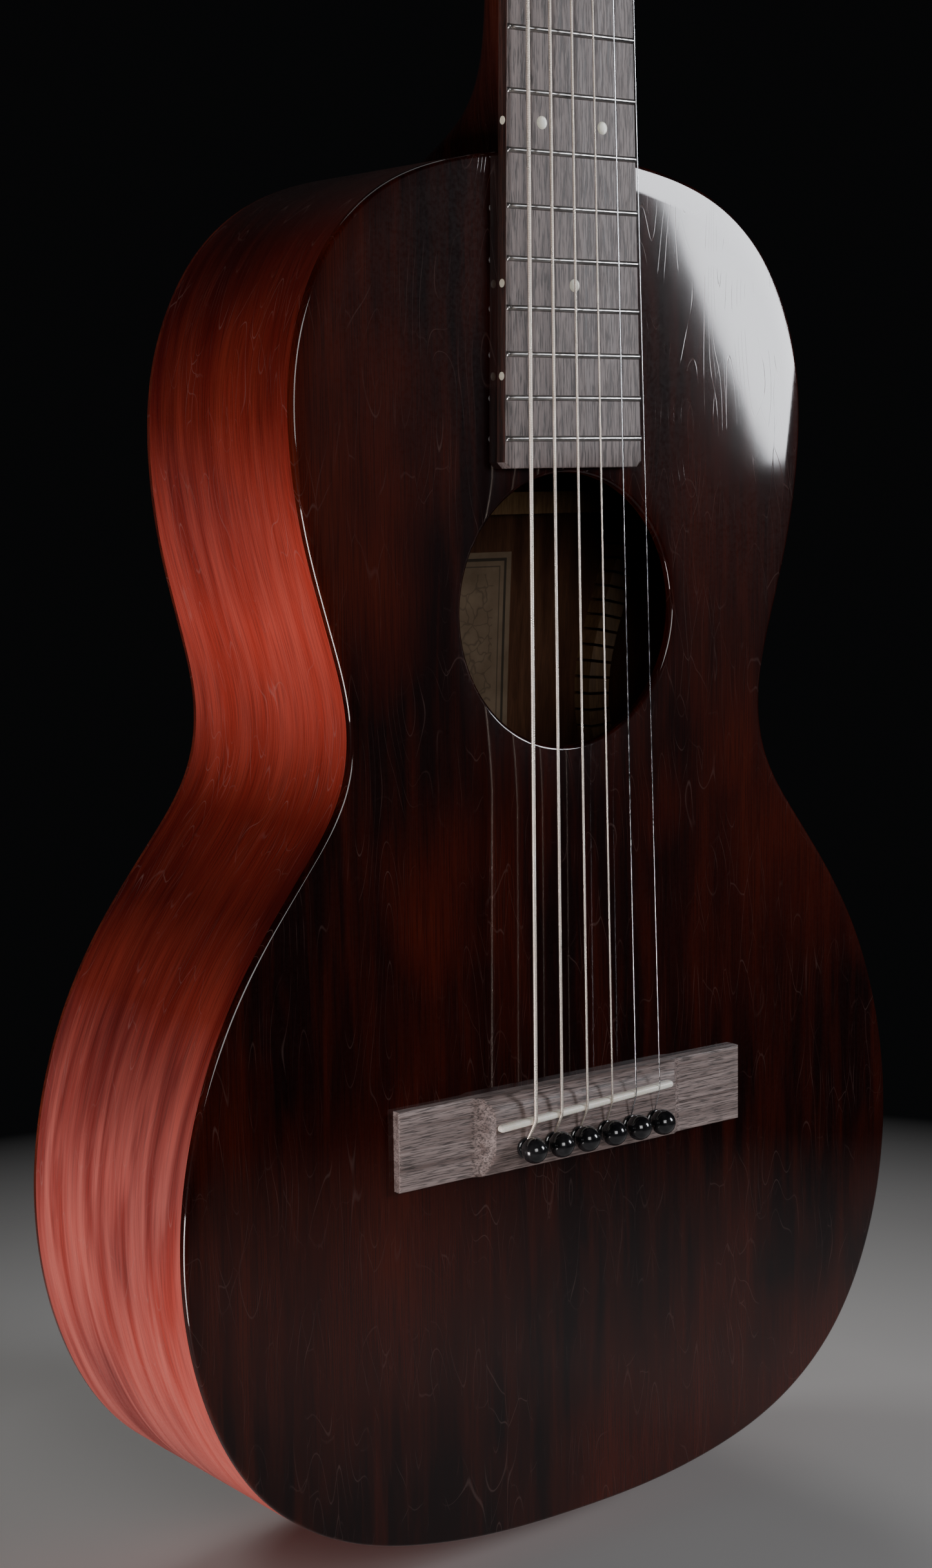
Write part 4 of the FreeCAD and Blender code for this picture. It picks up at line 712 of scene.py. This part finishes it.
def make_linings():
    """Kerfed linings: a thin strip of little blocks glued along both edges of the sides."""
    blocks = []
    near = rim(SIDE_THICK)
    far = rim(SIDE_THICK + LINING_DEEP)
    length = run_lengths(OUTLINE)
    count = int(length[-1] / KERF_STEP)
    for number in range(count):
        ends = [number * KERF_STEP, (number + 1) * KERF_STEP - KERF_WIDE]
        corners = np.array([[np.interp(e, length, edge[:, k]) for k in (0, 1)]
                            for edge, row in ((near, ends), (far, ends[::-1])) for e in row])
        centre = (corners[0] + corners[1]) / 2
        if abs(centre[0]) < BLOCK_HALF and not TAIL_BLOCK_UP <= centre[1] <= NECK_BLOCK_UP:
            continue
        slope = np.array([0.0, 0.0, LINING_TAPER, LINING_TAPER])  # they taper away from the plate
        depth = dome(corners, BACK_THICK)
        for start, end in ((np.full(4, TOP_THICK), TOP_THICK + LINING_TALL - slope),
                           (depth, depth - LINING_TALL + slope)):
            blocks.append(loft([ring_at(corners, start), ring_at(corners, end)]))
    make_piece("kerfed_lining_blocks", merged(blocks), LINING_WOOD, ("kerfed_linings",),
               sharp=20)


# ---------------- fingerboard, frets, markers
BOARD_LOW = 210.5
SCALE = 622.3
HALF_NUT = 21.5
HALF_END = 29.1
BOARD_CORNER = 2.0
BOARD_EASE = 0.45
NUT_GAP = 0.02
FRETS = 18
FRET_HALF = 0.95
FRET_TALL = 1.1
FRET_SUNK = 0.15  # crown's foot below the board's face, and its ends inside the board's edge
FRET_ENDS = ((0.0, 0.45), (0.18, 0.78), (0.5, 0.95), (1.0, 1.0))  # distance from the end, share of height
FACE_DOTS = [(5, 0), (7, 0), (9, 0), (12, -12.7), (12, 12.7), (15, 0.4)]
SIDE_DOTS = [5, 7, 9, 12, 15, 17]
FACE_DOT = [(2.1, 0.6), (2.1, -0.02), (1.9, -0.06), (0.9, -0.09), (0.05, -0.1)]
SIDE_DOT = [(1.35, 0.6), (1.35, -0.03), (0.8, -0.08), (0.05, -0.09)]


def board_half(z):
    return HALF_NUT + (SCALE - z) / (SCALE - BOARD_LOW) * (HALF_END - HALF_NUT)


def fret_up(number):
    return SCALE * 2 ** (-number / 12)


def dot_up(number):
    return (fret_up(number) + fret_up(number - 1)) / 2


def make_board():
    """Fingerboard with eased edges and two clipped lower corners."""
    def plan(inset):
        low = BOARD_LOW + inset
        near = board_half(BOARD_LOW) - inset
        points = [(-near + BOARD_CORNER, low), (near - BOARD_CORNER, low), (near, low + BOARD_CORNER)]
        ups = np.linspace(BOARD_LOW + BOARD_CORNER + 8, SCALE - NUT_GAP - inset, 24)
        points += [(board_half(z) - inset, z) for z in ups]
        return np.array(points + [(-x, z) for x, z in reversed(points[2:])])

    rings = [ring_at(plan(0), 0.0)]
    rings += [ring_at(plan(inset), -BOARD_THICK + depth)
              for inset, depth in reversed(arc_pairs(BOARD_EASE, 3))]
    piece = make_piece("fingerboard_rosewood", loft(rings), BOARD_WOOD, ("fingerboard",),
                       sharp=40)
    second_where(piece, lambda face: abs(face.normal.x) > 0.8, BOARD_EDGE)


def make_frets():
    """Fret crowns with rounded ends."""
    bend = np.linspace(0, math.pi, 9)
    parts = []
    for number in range(1, FRETS + 1):
        z = fret_up(number)
        half = board_half(z) - FRET_SUNK
        xs = [(-half + e, s) for e, s in FRET_ENDS] + [(half - e, s) for e, s in reversed(FRET_ENDS)]
        rings = []
        for x, grow in xs:
            tall = (FRET_TALL + FRET_SUNK) * grow
            rings.append([at(x, -BOARD_THICK + FRET_SUNK - tall * math.sin(a), z + FRET_HALF * math.cos(a))
                          for a in bend])
        parts.append(loft(rings))
    make_piece("fret_crowns", merged(parts), FRET_METAL, ("frets",), sharp=50)


def make_dots():
    """Pearl dots on the board and small plugs on its bass edge, each very slightly domed."""
    def on_face(number, x):
        return lambda a, y, b: at(x + a, -BOARD_THICK + y, dot_up(number) + b)

    def on_edge(number):
        half = board_half(dot_up(number))
        return lambda a, y, b: at(-half + y, -BOARD_THICK / 2 + a, dot_up(number) + b)

    pearls = [lathe(FACE_DOT, on_face(number, x), 28) for number, x in FACE_DOTS]
    make_piece("face_dot_pearls", merged(pearls), PEARL, ("face_dots",))
    plugs = [lathe(SIDE_DOT, on_edge(number), 24) for number in SIDE_DOTS]
    make_piece("side_dot_plugs", merged(plugs), PEARL, ("side_dots",))


# ---------------- bridge, saddle, pins
BRIDGE_HALF = 74.8
BRIDGE_TOP = 5.4
BRIDGE_LOW = -21.3
BRIDGE_TALL = 8.8
WING_TALL = 3.3
STEP_TOP = 39.5
STEP_FOOT = 47.0
SCOOP_POWER = 2.2
SADDLE_ENDS = ((-38.8, -4.9), (37.2, -1.4))
SADDLE_TALL = 10.9
SADDLE_FOOT = 3.6
SADDLE_HALF_THICK = 1.25
SADDLE_CROWN = 1.1
PIN_DOWN = -13.1
PIN_X = [-27.3, -15.7, -4.4, 7.4, 18.6, 29.5]
PIN_BALL = 4.4
PIN_COLLAR = 1.2
BALL_SUNK = 0.9
PIN_SHANK = [(2.0, 12.0), (2.6, -8.0), (3.5, -8.7), (3.6, -9.1), (3.6, -9.7), (3.3, -9.95), (2.9, -10.05)]


def make_bridge():
    """Rectangular bridge: a cambered middle that steps down through hollow scoops to flat wings."""
    crown_z = [BRIDGE_LOW + up for up in (0, 2.5, 6, 10)] + [BRIDGE_TOP - down for down in (7, 3.5, 0)]
    crown_y = [5.0, 6.5, 8.15, 8.75, 8.75, 8.05, 5.0]
    ease = 0.55  # radius of the top's outer edges

    def height(x, z):
        share = min(max((abs(x) - STEP_TOP) / (STEP_FOOT - STEP_TOP), 0), 1)
        carve = WING_TALL + (BRIDGE_TALL - WING_TALL) * (1 - share) ** SCOOP_POWER
        return min(np.interp(z, crown_z, crown_y), carve)

    def rows(low, high, inner):
        edge = [0.0, 0.08, 0.25, ease]
        return [low + e for e in edge] + list(inner) + [high - e for e in reversed(edge)]

    xs = rows(-BRIDGE_HALF, BRIDGE_HALF, np.concatenate([
        np.linspace(-72, -48, 9), np.linspace(-STEP_FOOT, -STEP_TOP, 14), np.linspace(-37, 37, 16),
        np.linspace(STEP_TOP, STEP_FOOT, 14), np.linspace(48, 72, 9)]))
    zs = rows(BRIDGE_LOW, BRIDGE_TOP, np.linspace(BRIDGE_LOW + 1.2, BRIDGE_TOP - 1.2, 22))

    def eased(x, z):
        near = min(x + BRIDGE_HALF, BRIDGE_HALF - x, z - BRIDGE_LOW, BRIDGE_TOP - z)
        drop = 0.0
        if near < ease:
            drop = ease - math.sqrt(max(ease ** 2 - (ease - near) ** 2, 0))
        return height(x, z) - drop

    verts = [at(x, -eased(x, z), z) for x in xs for z in zs]
    verts += [at(x, 0, z) for x in xs for z in zs]
    wide = len(zs)
    base = len(xs) * wide
    faces = []
    for i in range(len(xs) - 1):
        for j in range(wide - 1):
            a = i * wide + j
            faces.append((a, a + 1, a + wide + 1, a + wide))
            faces.append((base + a, base + a + wide, base + a + wide + 1, base + a + 1))
    edge = [i * wide for i in range(len(xs))] + [(len(xs) - 1) * wide + j for j in range(1, wide)]
    edge += [i * wide + wide - 1 for i in range(len(xs) - 2, -1, -1)] + [j for j in range(wide - 2, 0, -1)]
    for a, b in zip(edge, edge[1:] + edge[:1]):
        faces.append((a, b, base + b, base + a))
    make_piece("bridge_rosewood", (verts, faces), BRIDGE_WOOD, ("bridge",), sharp=30)


def make_saddle():
    """Slanted bone saddle with round ends and a rounded crown."""
    start = np.array(SADDLE_ENDS[0])
    end = np.array(SADDLE_ENDS[1])
    along = (end - start) / np.linalg.norm(end - start)
    across = np.array([-along[1], along[0]])
    turn = np.linspace(-math.pi / 2, math.pi / 2, 9)

    def stadium(radius):
        ends = ((end - along * SADDLE_HALF_THICK, 1), (start + along * SADDLE_HALF_THICK, -1))
        return np.array([centre + way * (along * math.cos(a) + across * math.sin(a)) * radius
                         for centre, way in ends for a in turn])

    rings = [ring_at(stadium(SADDLE_HALF_THICK), -SADDLE_FOOT)]
    for inset, depth in reversed(arc_pairs(SADDLE_CROWN, 5)):
        rings.append(ring_at(stadium(SADDLE_HALF_THICK - inset), -SADDLE_TALL + depth))
    make_piece("saddle_bone", loft(rings), BONE, ("saddle",))


def make_pins():
    """Ball-headed bridge pins: collar, turned neck and ball, with the shank below."""
    centre = -(BRIDGE_TALL + PIN_COLLAR + PIN_BALL - BALL_SUNK)
    profile = PIN_SHANK + [(PIN_BALL * math.sin(a), centre + PIN_BALL * math.cos(a))
                           for a in np.linspace(0.72, math.pi - 0.02, 22)]
    pins = [lathe(profile, lambda a, y, b, x=x: at(x + a, y, PIN_DOWN + b)) for x in PIN_X]
    make_piece("bridge_pin_balls", merged(pins), BLACK, ("bridge_pins",))


# ---------------- strings
STRINGS = [  # name, radius, x at the nut, x at the saddle, side and place of its tuner
    ("string_6_low_e", 0.66, -19.0, -25.0, -1, 0),
    ("string_5_a", 0.53, -11.6, -13.7, -1, 1),
    ("string_4_d", 0.41, -4.2, -2.4, -1, 2),
    ("string_3_g", 0.30, 3.3, 8.7, 1, 2),
    ("string_2_b", 0.20, 10.7, 19.5, 1, 1),
    ("string_1_high_e", 0.15, 18.1, 30.3, 1, 0),
]
STRING_NUMBERS = (6, 5, 4, 3, 2, 1)
WOUND_FROM = 0.25  # wire radius from which a string is wound
STRING_GAP = 0.03  # wire to roller
BEND_REACH = 1.2
PIN_GROOVE = 2.61
WIND_X = (12.6, 12.2, 12.8)  # where each place's turns start, from the head's middle
ROLLER_UP = (50.0, 85.0, 120.0)
ROLLER_DEEP = 11.0
ROLLER_RADIUS = 3.15
NUT_CLEAR = 1.45


def tube(points, radius, sides):
    """Round wire through points, its rings square to the path."""
    path = [Vector(p) for p in points]
    rings = []
    side = None
    for k, point in enumerate(path):
        ahead = path[min(k + 1, len(path) - 1)] - path[max(k - 1, 0)]
        ahead.normalize()
        if side is None:
            side = ahead.orthogonal().normalized()
        side = (side - ahead * side.dot(ahead)).normalized()
        other = ahead.cross(side)
        rings.append([point + (side * math.cos(a) + other * math.sin(a)) * radius * MM
                      for a in full_turn(sides)])
    return loft(rings)


def bent(points):
    """The same path with each corner turned into a short curve."""
    path = [points[0]]
    for before, here, after in zip(points, points[1:], points[2:]):
        cut = min(BEND_REACH * MM, (here - before).length * 0.45, (after - here).length * 0.45)
        start = here + (before - here).normalized() * cut
        end = here + (after - here).normalized() * cut
        for t in np.linspace(0, 1, 5):
            path.append(start * (1 - t) ** 2 + here * 2 * t * (1 - t) + end * t ** 2)
    return path + [points[-1]]


def make_strings():
    """The six strings from their pins over saddle and nut to their rollers."""
    wound = wound_string("wound_bronze_string", (0.95, 0.86, 0.76), (0.80, 0.68, 0.58), 0.55)
    for number, (name, radius, x_nut, x_saddle, side, place) in zip(STRING_NUMBERS, STRINGS):
        share = (x_saddle - SADDLE_ENDS[0][0]) / (SADDLE_ENDS[1][0] - SADDLE_ENDS[0][0])
        saddle_z = SADDLE_ENDS[0][1] + share * (SADDLE_ENDS[1][1] - SADDLE_ENDS[0][1])
        groove_z = PIN_DOWN + PIN_GROOVE - radius
        x_pin = PIN_X[6 - number]
        nut_y = -(BOARD_THICK + NUT_CLEAR + radius)
        reach = ROLLER_RADIUS + STRING_GAP + radius
        points = [
            at(x_pin, 5.9, groove_z), at(x_pin, -BRIDGE_TALL - radius - 0.05, groove_z),
            at(x_saddle, -(SADDLE_TALL + radius + 0.02), saddle_z), at(x_nut, nut_y, SCALE + 0.2),
            at(x_nut, nut_y, NUT_UP + 0.4),
            in_head(side * WIND_X[place], ROLLER_DEEP - reach, ROLLER_UP[place]),
        ]
        material = wound if radius > WOUND_FROM else STEEL
        make_piece(name + "_wire", tube(bent(points), radius, 12), material, (name,),
                   sharp=60)
    dress("ball_ends", BRASS)


# ---------------- tuners
PLATE_OUTER = 29.7
GEAR_MIDDLE = 33.27
GEAR_HALF = 2.0
GEAR_GAP = 0.05
SLOT_INNER = 6  # inner wall of a slot from the head's middle
RIB_BORE = 4.6  # a roller's reach into the rib between the slots
SQUARE_HALF = 1.7
COLLAR_RADIUS = 4.3


def make_roller(number, radius, side, place, material):
    """Roller of a slotted head with the turns of its string."""
    body = "roller_%d" % number

    def local(a, along, b):
        return in_head(side * along, ROLLER_DEEP + a, ROLLER_UP[place] + b)

    inner = SLOT_INNER - RIB_BORE
    shoulder = GEAR_MIDDLE - GEAR_HALF - GEAR_GAP
    profile = [(2.7, inner), (ROLLER_RADIUS, inner + 0.45), (ROLLER_RADIUS, PLATE_OUTER + 0.2),
               (4.0, PLATE_OUTER + 0.2), (COLLAR_RADIUS, PLATE_OUTER + 0.4), (COLLAR_RADIUS, shoulder)]
    barrel = lathe(profile, local, 48)
    square = [local(SQUARE_HALF * a, 0, SQUARE_HALF * b) for a, b in ((-1, -1), (1, -1), (1, 1), (-1, 1))]
    ends = [[p + (local(0, along, 0) - local(0, 0, 0)) for p in square]
            for along in (shoulder, shoulder + 2 * GEAR_HALF)]
    make_piece("string_roller_%d" % number, merged([barrel, loft(ends)]), NICKEL,
               ("tuner_roller_%d" % number,), body)
    first = WIND_X[place] + 2 * radius + 0.35
    pitch = 2 * radius * 1.06
    turns = 3 if radius > 0.35 else 4
    coil_radius = ROLLER_RADIUS + STRING_GAP + radius
    path = []
    for a in np.linspace(0, 2 * math.pi * turns, 40 * turns + 1):
        along = first + pitch * a / (2 * math.pi)
        path.append(local(-coil_radius * math.cos(a), along, coil_radius * math.sin(a)))
    end_x = first + pitch * turns
    path.append(local(-coil_radius * 0.55, end_x, coil_radius * 0.75))
    make_piece("string_turns_%d" % number, tube(path, radius, 8), material, (), body,
               sharp=60)


def dress(node, material):
    """Puts a finished material on a CAD node that keeps its own shape."""
    mesh = NODES[node].data
    if mesh.materials:
        for k in range(len(mesh.materials)):
            mesh.materials[k] = material
    else:
        mesh.materials.append(material)


def make_tuners():
    """Rollers, buttons, gears and worm shafts on their strips."""
    coil = wound_string("wound_bronze_turns", (0.80, 0.66, 0.50), (0.52, 0.40, 0.29), 0.6)
    for number, (_, radius, _, _, side, place) in zip(STRING_NUMBERS, STRINGS):
        make_roller(number, radius, side, place, coil if radius > WOUND_FROM else STEEL)
        softened("tuner_button_%d" % number, 0.7, OLD_PLASTIC, "key_%d" % number,
                 segments=3)
        dress("tuner_gear_%d" % number, BRASS)
        dress("tuner_key_%d" % number, NICKEL)
    for plate in ("tuner_plate_bass", "tuner_plate_treble"):
        softened(plate, 0.25, NICKEL)
    dress("plate_screws", NICKEL)


END_PIN_DEEP = 48  # end pin behind the soundboard's face


def make_end_pin():
    """Turned end pin in the tail."""
    profile = [(3.98, 16), (3.98, 0), (6.3, 0), (6.5, -0.3), (6.5, -2.0), (6.0, -2.5), (4.2, -4.2),
               (4.0, -5.6), (4.2, -7.0), (6.1, -8.9), (6.5, -9.4), (6.5, -11.6), (6.1, -12.6), (5.0, -13.3),
               (3.0, -13.5), (0.1, -13.5)]
    shape = lathe(profile, lambda a, y, b: at(a, END_PIN_DEEP + b, -TAIL_DOWN + y))
    make_piece("end_pin_turned", shape, BLACK, ("end_pin",))


# ---------------- stage
FLOOR_RADIUS = 0.62
FLOOR_FADE = (0.22, 0.60)  # radii between which the floor thins out into the dark


def make_floor():
    """Pale studio floor with a soft rim, so that its edge isn't mirrored in the top as a line."""
    look = Look("pale_floor", Roughness=0.75)
    cloud = look.noise(look.scaled(400, 400, 400), detail=3)
    away = look.vector("LENGTH", look.place, output="Value")
    look.set(Base_Color=look.ramp(cloud, (0.3, (0.42, 0.41, 0.40)), (0.7, (0.47, 0.46, 0.45))),
             Alpha=look.ramp(away, (FLOOR_FADE[0], 1.0), (FLOOR_FADE[1], 0.0)))
    mesh = bpy.data.meshes.new("floor")
    ring = [(FLOOR_RADIUS * math.cos(a), FLOOR_RADIUS * math.sin(a), 0) for a in full_turn(96)]
    mesh.from_pydata(ring, [], [tuple(range(len(ring)))])
    mesh.materials.append(look.material)
    floor = new_object("floor", mesh)
    floor.visible_shadow = False  # the side's key light stands below it


WHITE = (1, 1, 1)
MIDDLE = (0, 0, 0.4)
# Name, place, target, width, height, watts, roll in degrees, colour and whether reflections show it.
# The bass side's shoulder and waist would mirror the rear lights, and both are dark in the photo.
LIGHTS = (
    ("bass_side_key", (-1.3, -0.02, -0.25), (-0.12, 0.03, 0.22), 0.5, 0.5, 22, 0, (1.0, 0.92, 0.92), True),
    ("treble_window", (1.362, -1.243, 0.731), (0.1, -0.04, 0.42), 0.40, 0.62, 20, 21.2,
     (0.93, 0.95, 1.0), True),
    ("front_fill", (-0.7, -1.8, 0.7), (0, 0, 0.35), 0.8, 0.8, 13, 0, WHITE, True),
    ("overhead", (0.2, 0.9, 2.0), MIDDLE, 1.2, 0.8, 2, 0, WHITE, True),
    ("rear_left", (-0.9, 1.5, 1.6), MIDDLE, 1.0, 0.5, 10, 0, WHITE, False),
    ("rear_right", (0.9, 1.5, 1.6), MIDDLE, 1.0, 0.5, 10, 0, WHITE, False),
)
WORLD_COLOUR = (0.5, 0.52, 0.56, 1)
WORLD_STRENGTH = 0.006


def soft_light(name, place, target, wide, tall, power, roll, colour, mirrored):
    """Rectangular soft light at place, aimed at target and rolled about its aim."""
    data = bpy.data.lights.new(name, "AREA")
    data.shape = "RECTANGLE"
    data.size = wide
    data.size_y = tall
    data.energy = power
    data.color = colour
    light = new_object(name, data)
    aim = (Vector(target) - Vector(place)).to_track_quat("-Z", "Y")
    rolled = aim.to_matrix().to_4x4() @ Matrix.Rotation(math.radians(roll), 4, "Z")
    light.matrix_world = Matrix.Translation(place) @ rolled
    light.visible_camera = False
    light.visible_glossy = mirrored


def make_lights():
    """Studio lights and a nearly dark world."""
    for row in LIGHTS:
        soft_light(*row)
    world = bpy.data.worlds.new("studio")
    world.use_nodes = True
    background = world.node_tree.nodes["Background"]
    background.inputs["Color"].default_value = WORLD_COLOUR
    background.inputs["Strength"].default_value = WORLD_STRENGTH
    bpy.context.scene.world = world


CAMERA_PLACE = (-0.53977, -0.69197, 0.37304)
CAMERA_TURN, CAMERA_DROP, CAMERA_ROLL = 37.367, 7.049, -0.756  # degrees
CAMERA_LENS = 58.245


def make_camera():
    """Camera to the bass side of the guitar, a little above its waist, looking slightly down."""
    turn, drop, roll = (math.radians(d) for d in (CAMERA_TURN, CAMERA_DROP, CAMERA_ROLL))
    ahead = Vector((math.sin(turn) * math.cos(drop), math.cos(turn) * math.cos(drop), -math.sin(drop)))
    right = ahead.cross(Vector((0, 0, 1))).normalized()
    up = right.cross(ahead)
    right, up = (right * math.cos(roll) + up * math.sin(roll), up * math.cos(roll) - right * math.sin(roll))
    data = bpy.data.cameras.new("view")
    data.lens = CAMERA_LENS
    data.sensor_width = 36
    data.clip_start = 0.01
    camera = new_object("view", data)
    pose = Matrix((right, up, -ahead)).transposed().to_4x4()
    camera.matrix_world = Matrix.Translation(CAMERA_PLACE) @ pose
    bpy.context.scene.camera = camera


# ---------------- build
half_way = OUTLINE_POINTS // 2
make_top()
make_back()
make_side("treble_side_bent", "treble_side", 0, half_way)
make_side("bass_side_bent", "bass_side", half_way, OUTLINE_POINTS)
for make in (make_linings, make_board, make_frets, make_dots, make_bridge, make_saddle, make_pins,
             make_strings, make_tuners, make_end_pin):
    make()
softened("neck", 0.8, NECK_WOOD_WITH_PAINTED_SHADE, corner=34, segments=3)
softened("head_veneer", 0.3, VENEER_WOOD)
softened("nut", 0.25, BONE)
for node in ("neck_block", "tail_block"):
    dress(node, BLOCK_WOOD)
for node in ("x_braces", "tone_bars", "short_top_braces", "back_braces", "back_centre_strip", "bridge_plate"):
    dress(node, BRACE_WOOD_WITH_PAINTED_SHADE)
dress("label", paper_label())
for make in (make_floor, make_lights, make_camera):
    make()
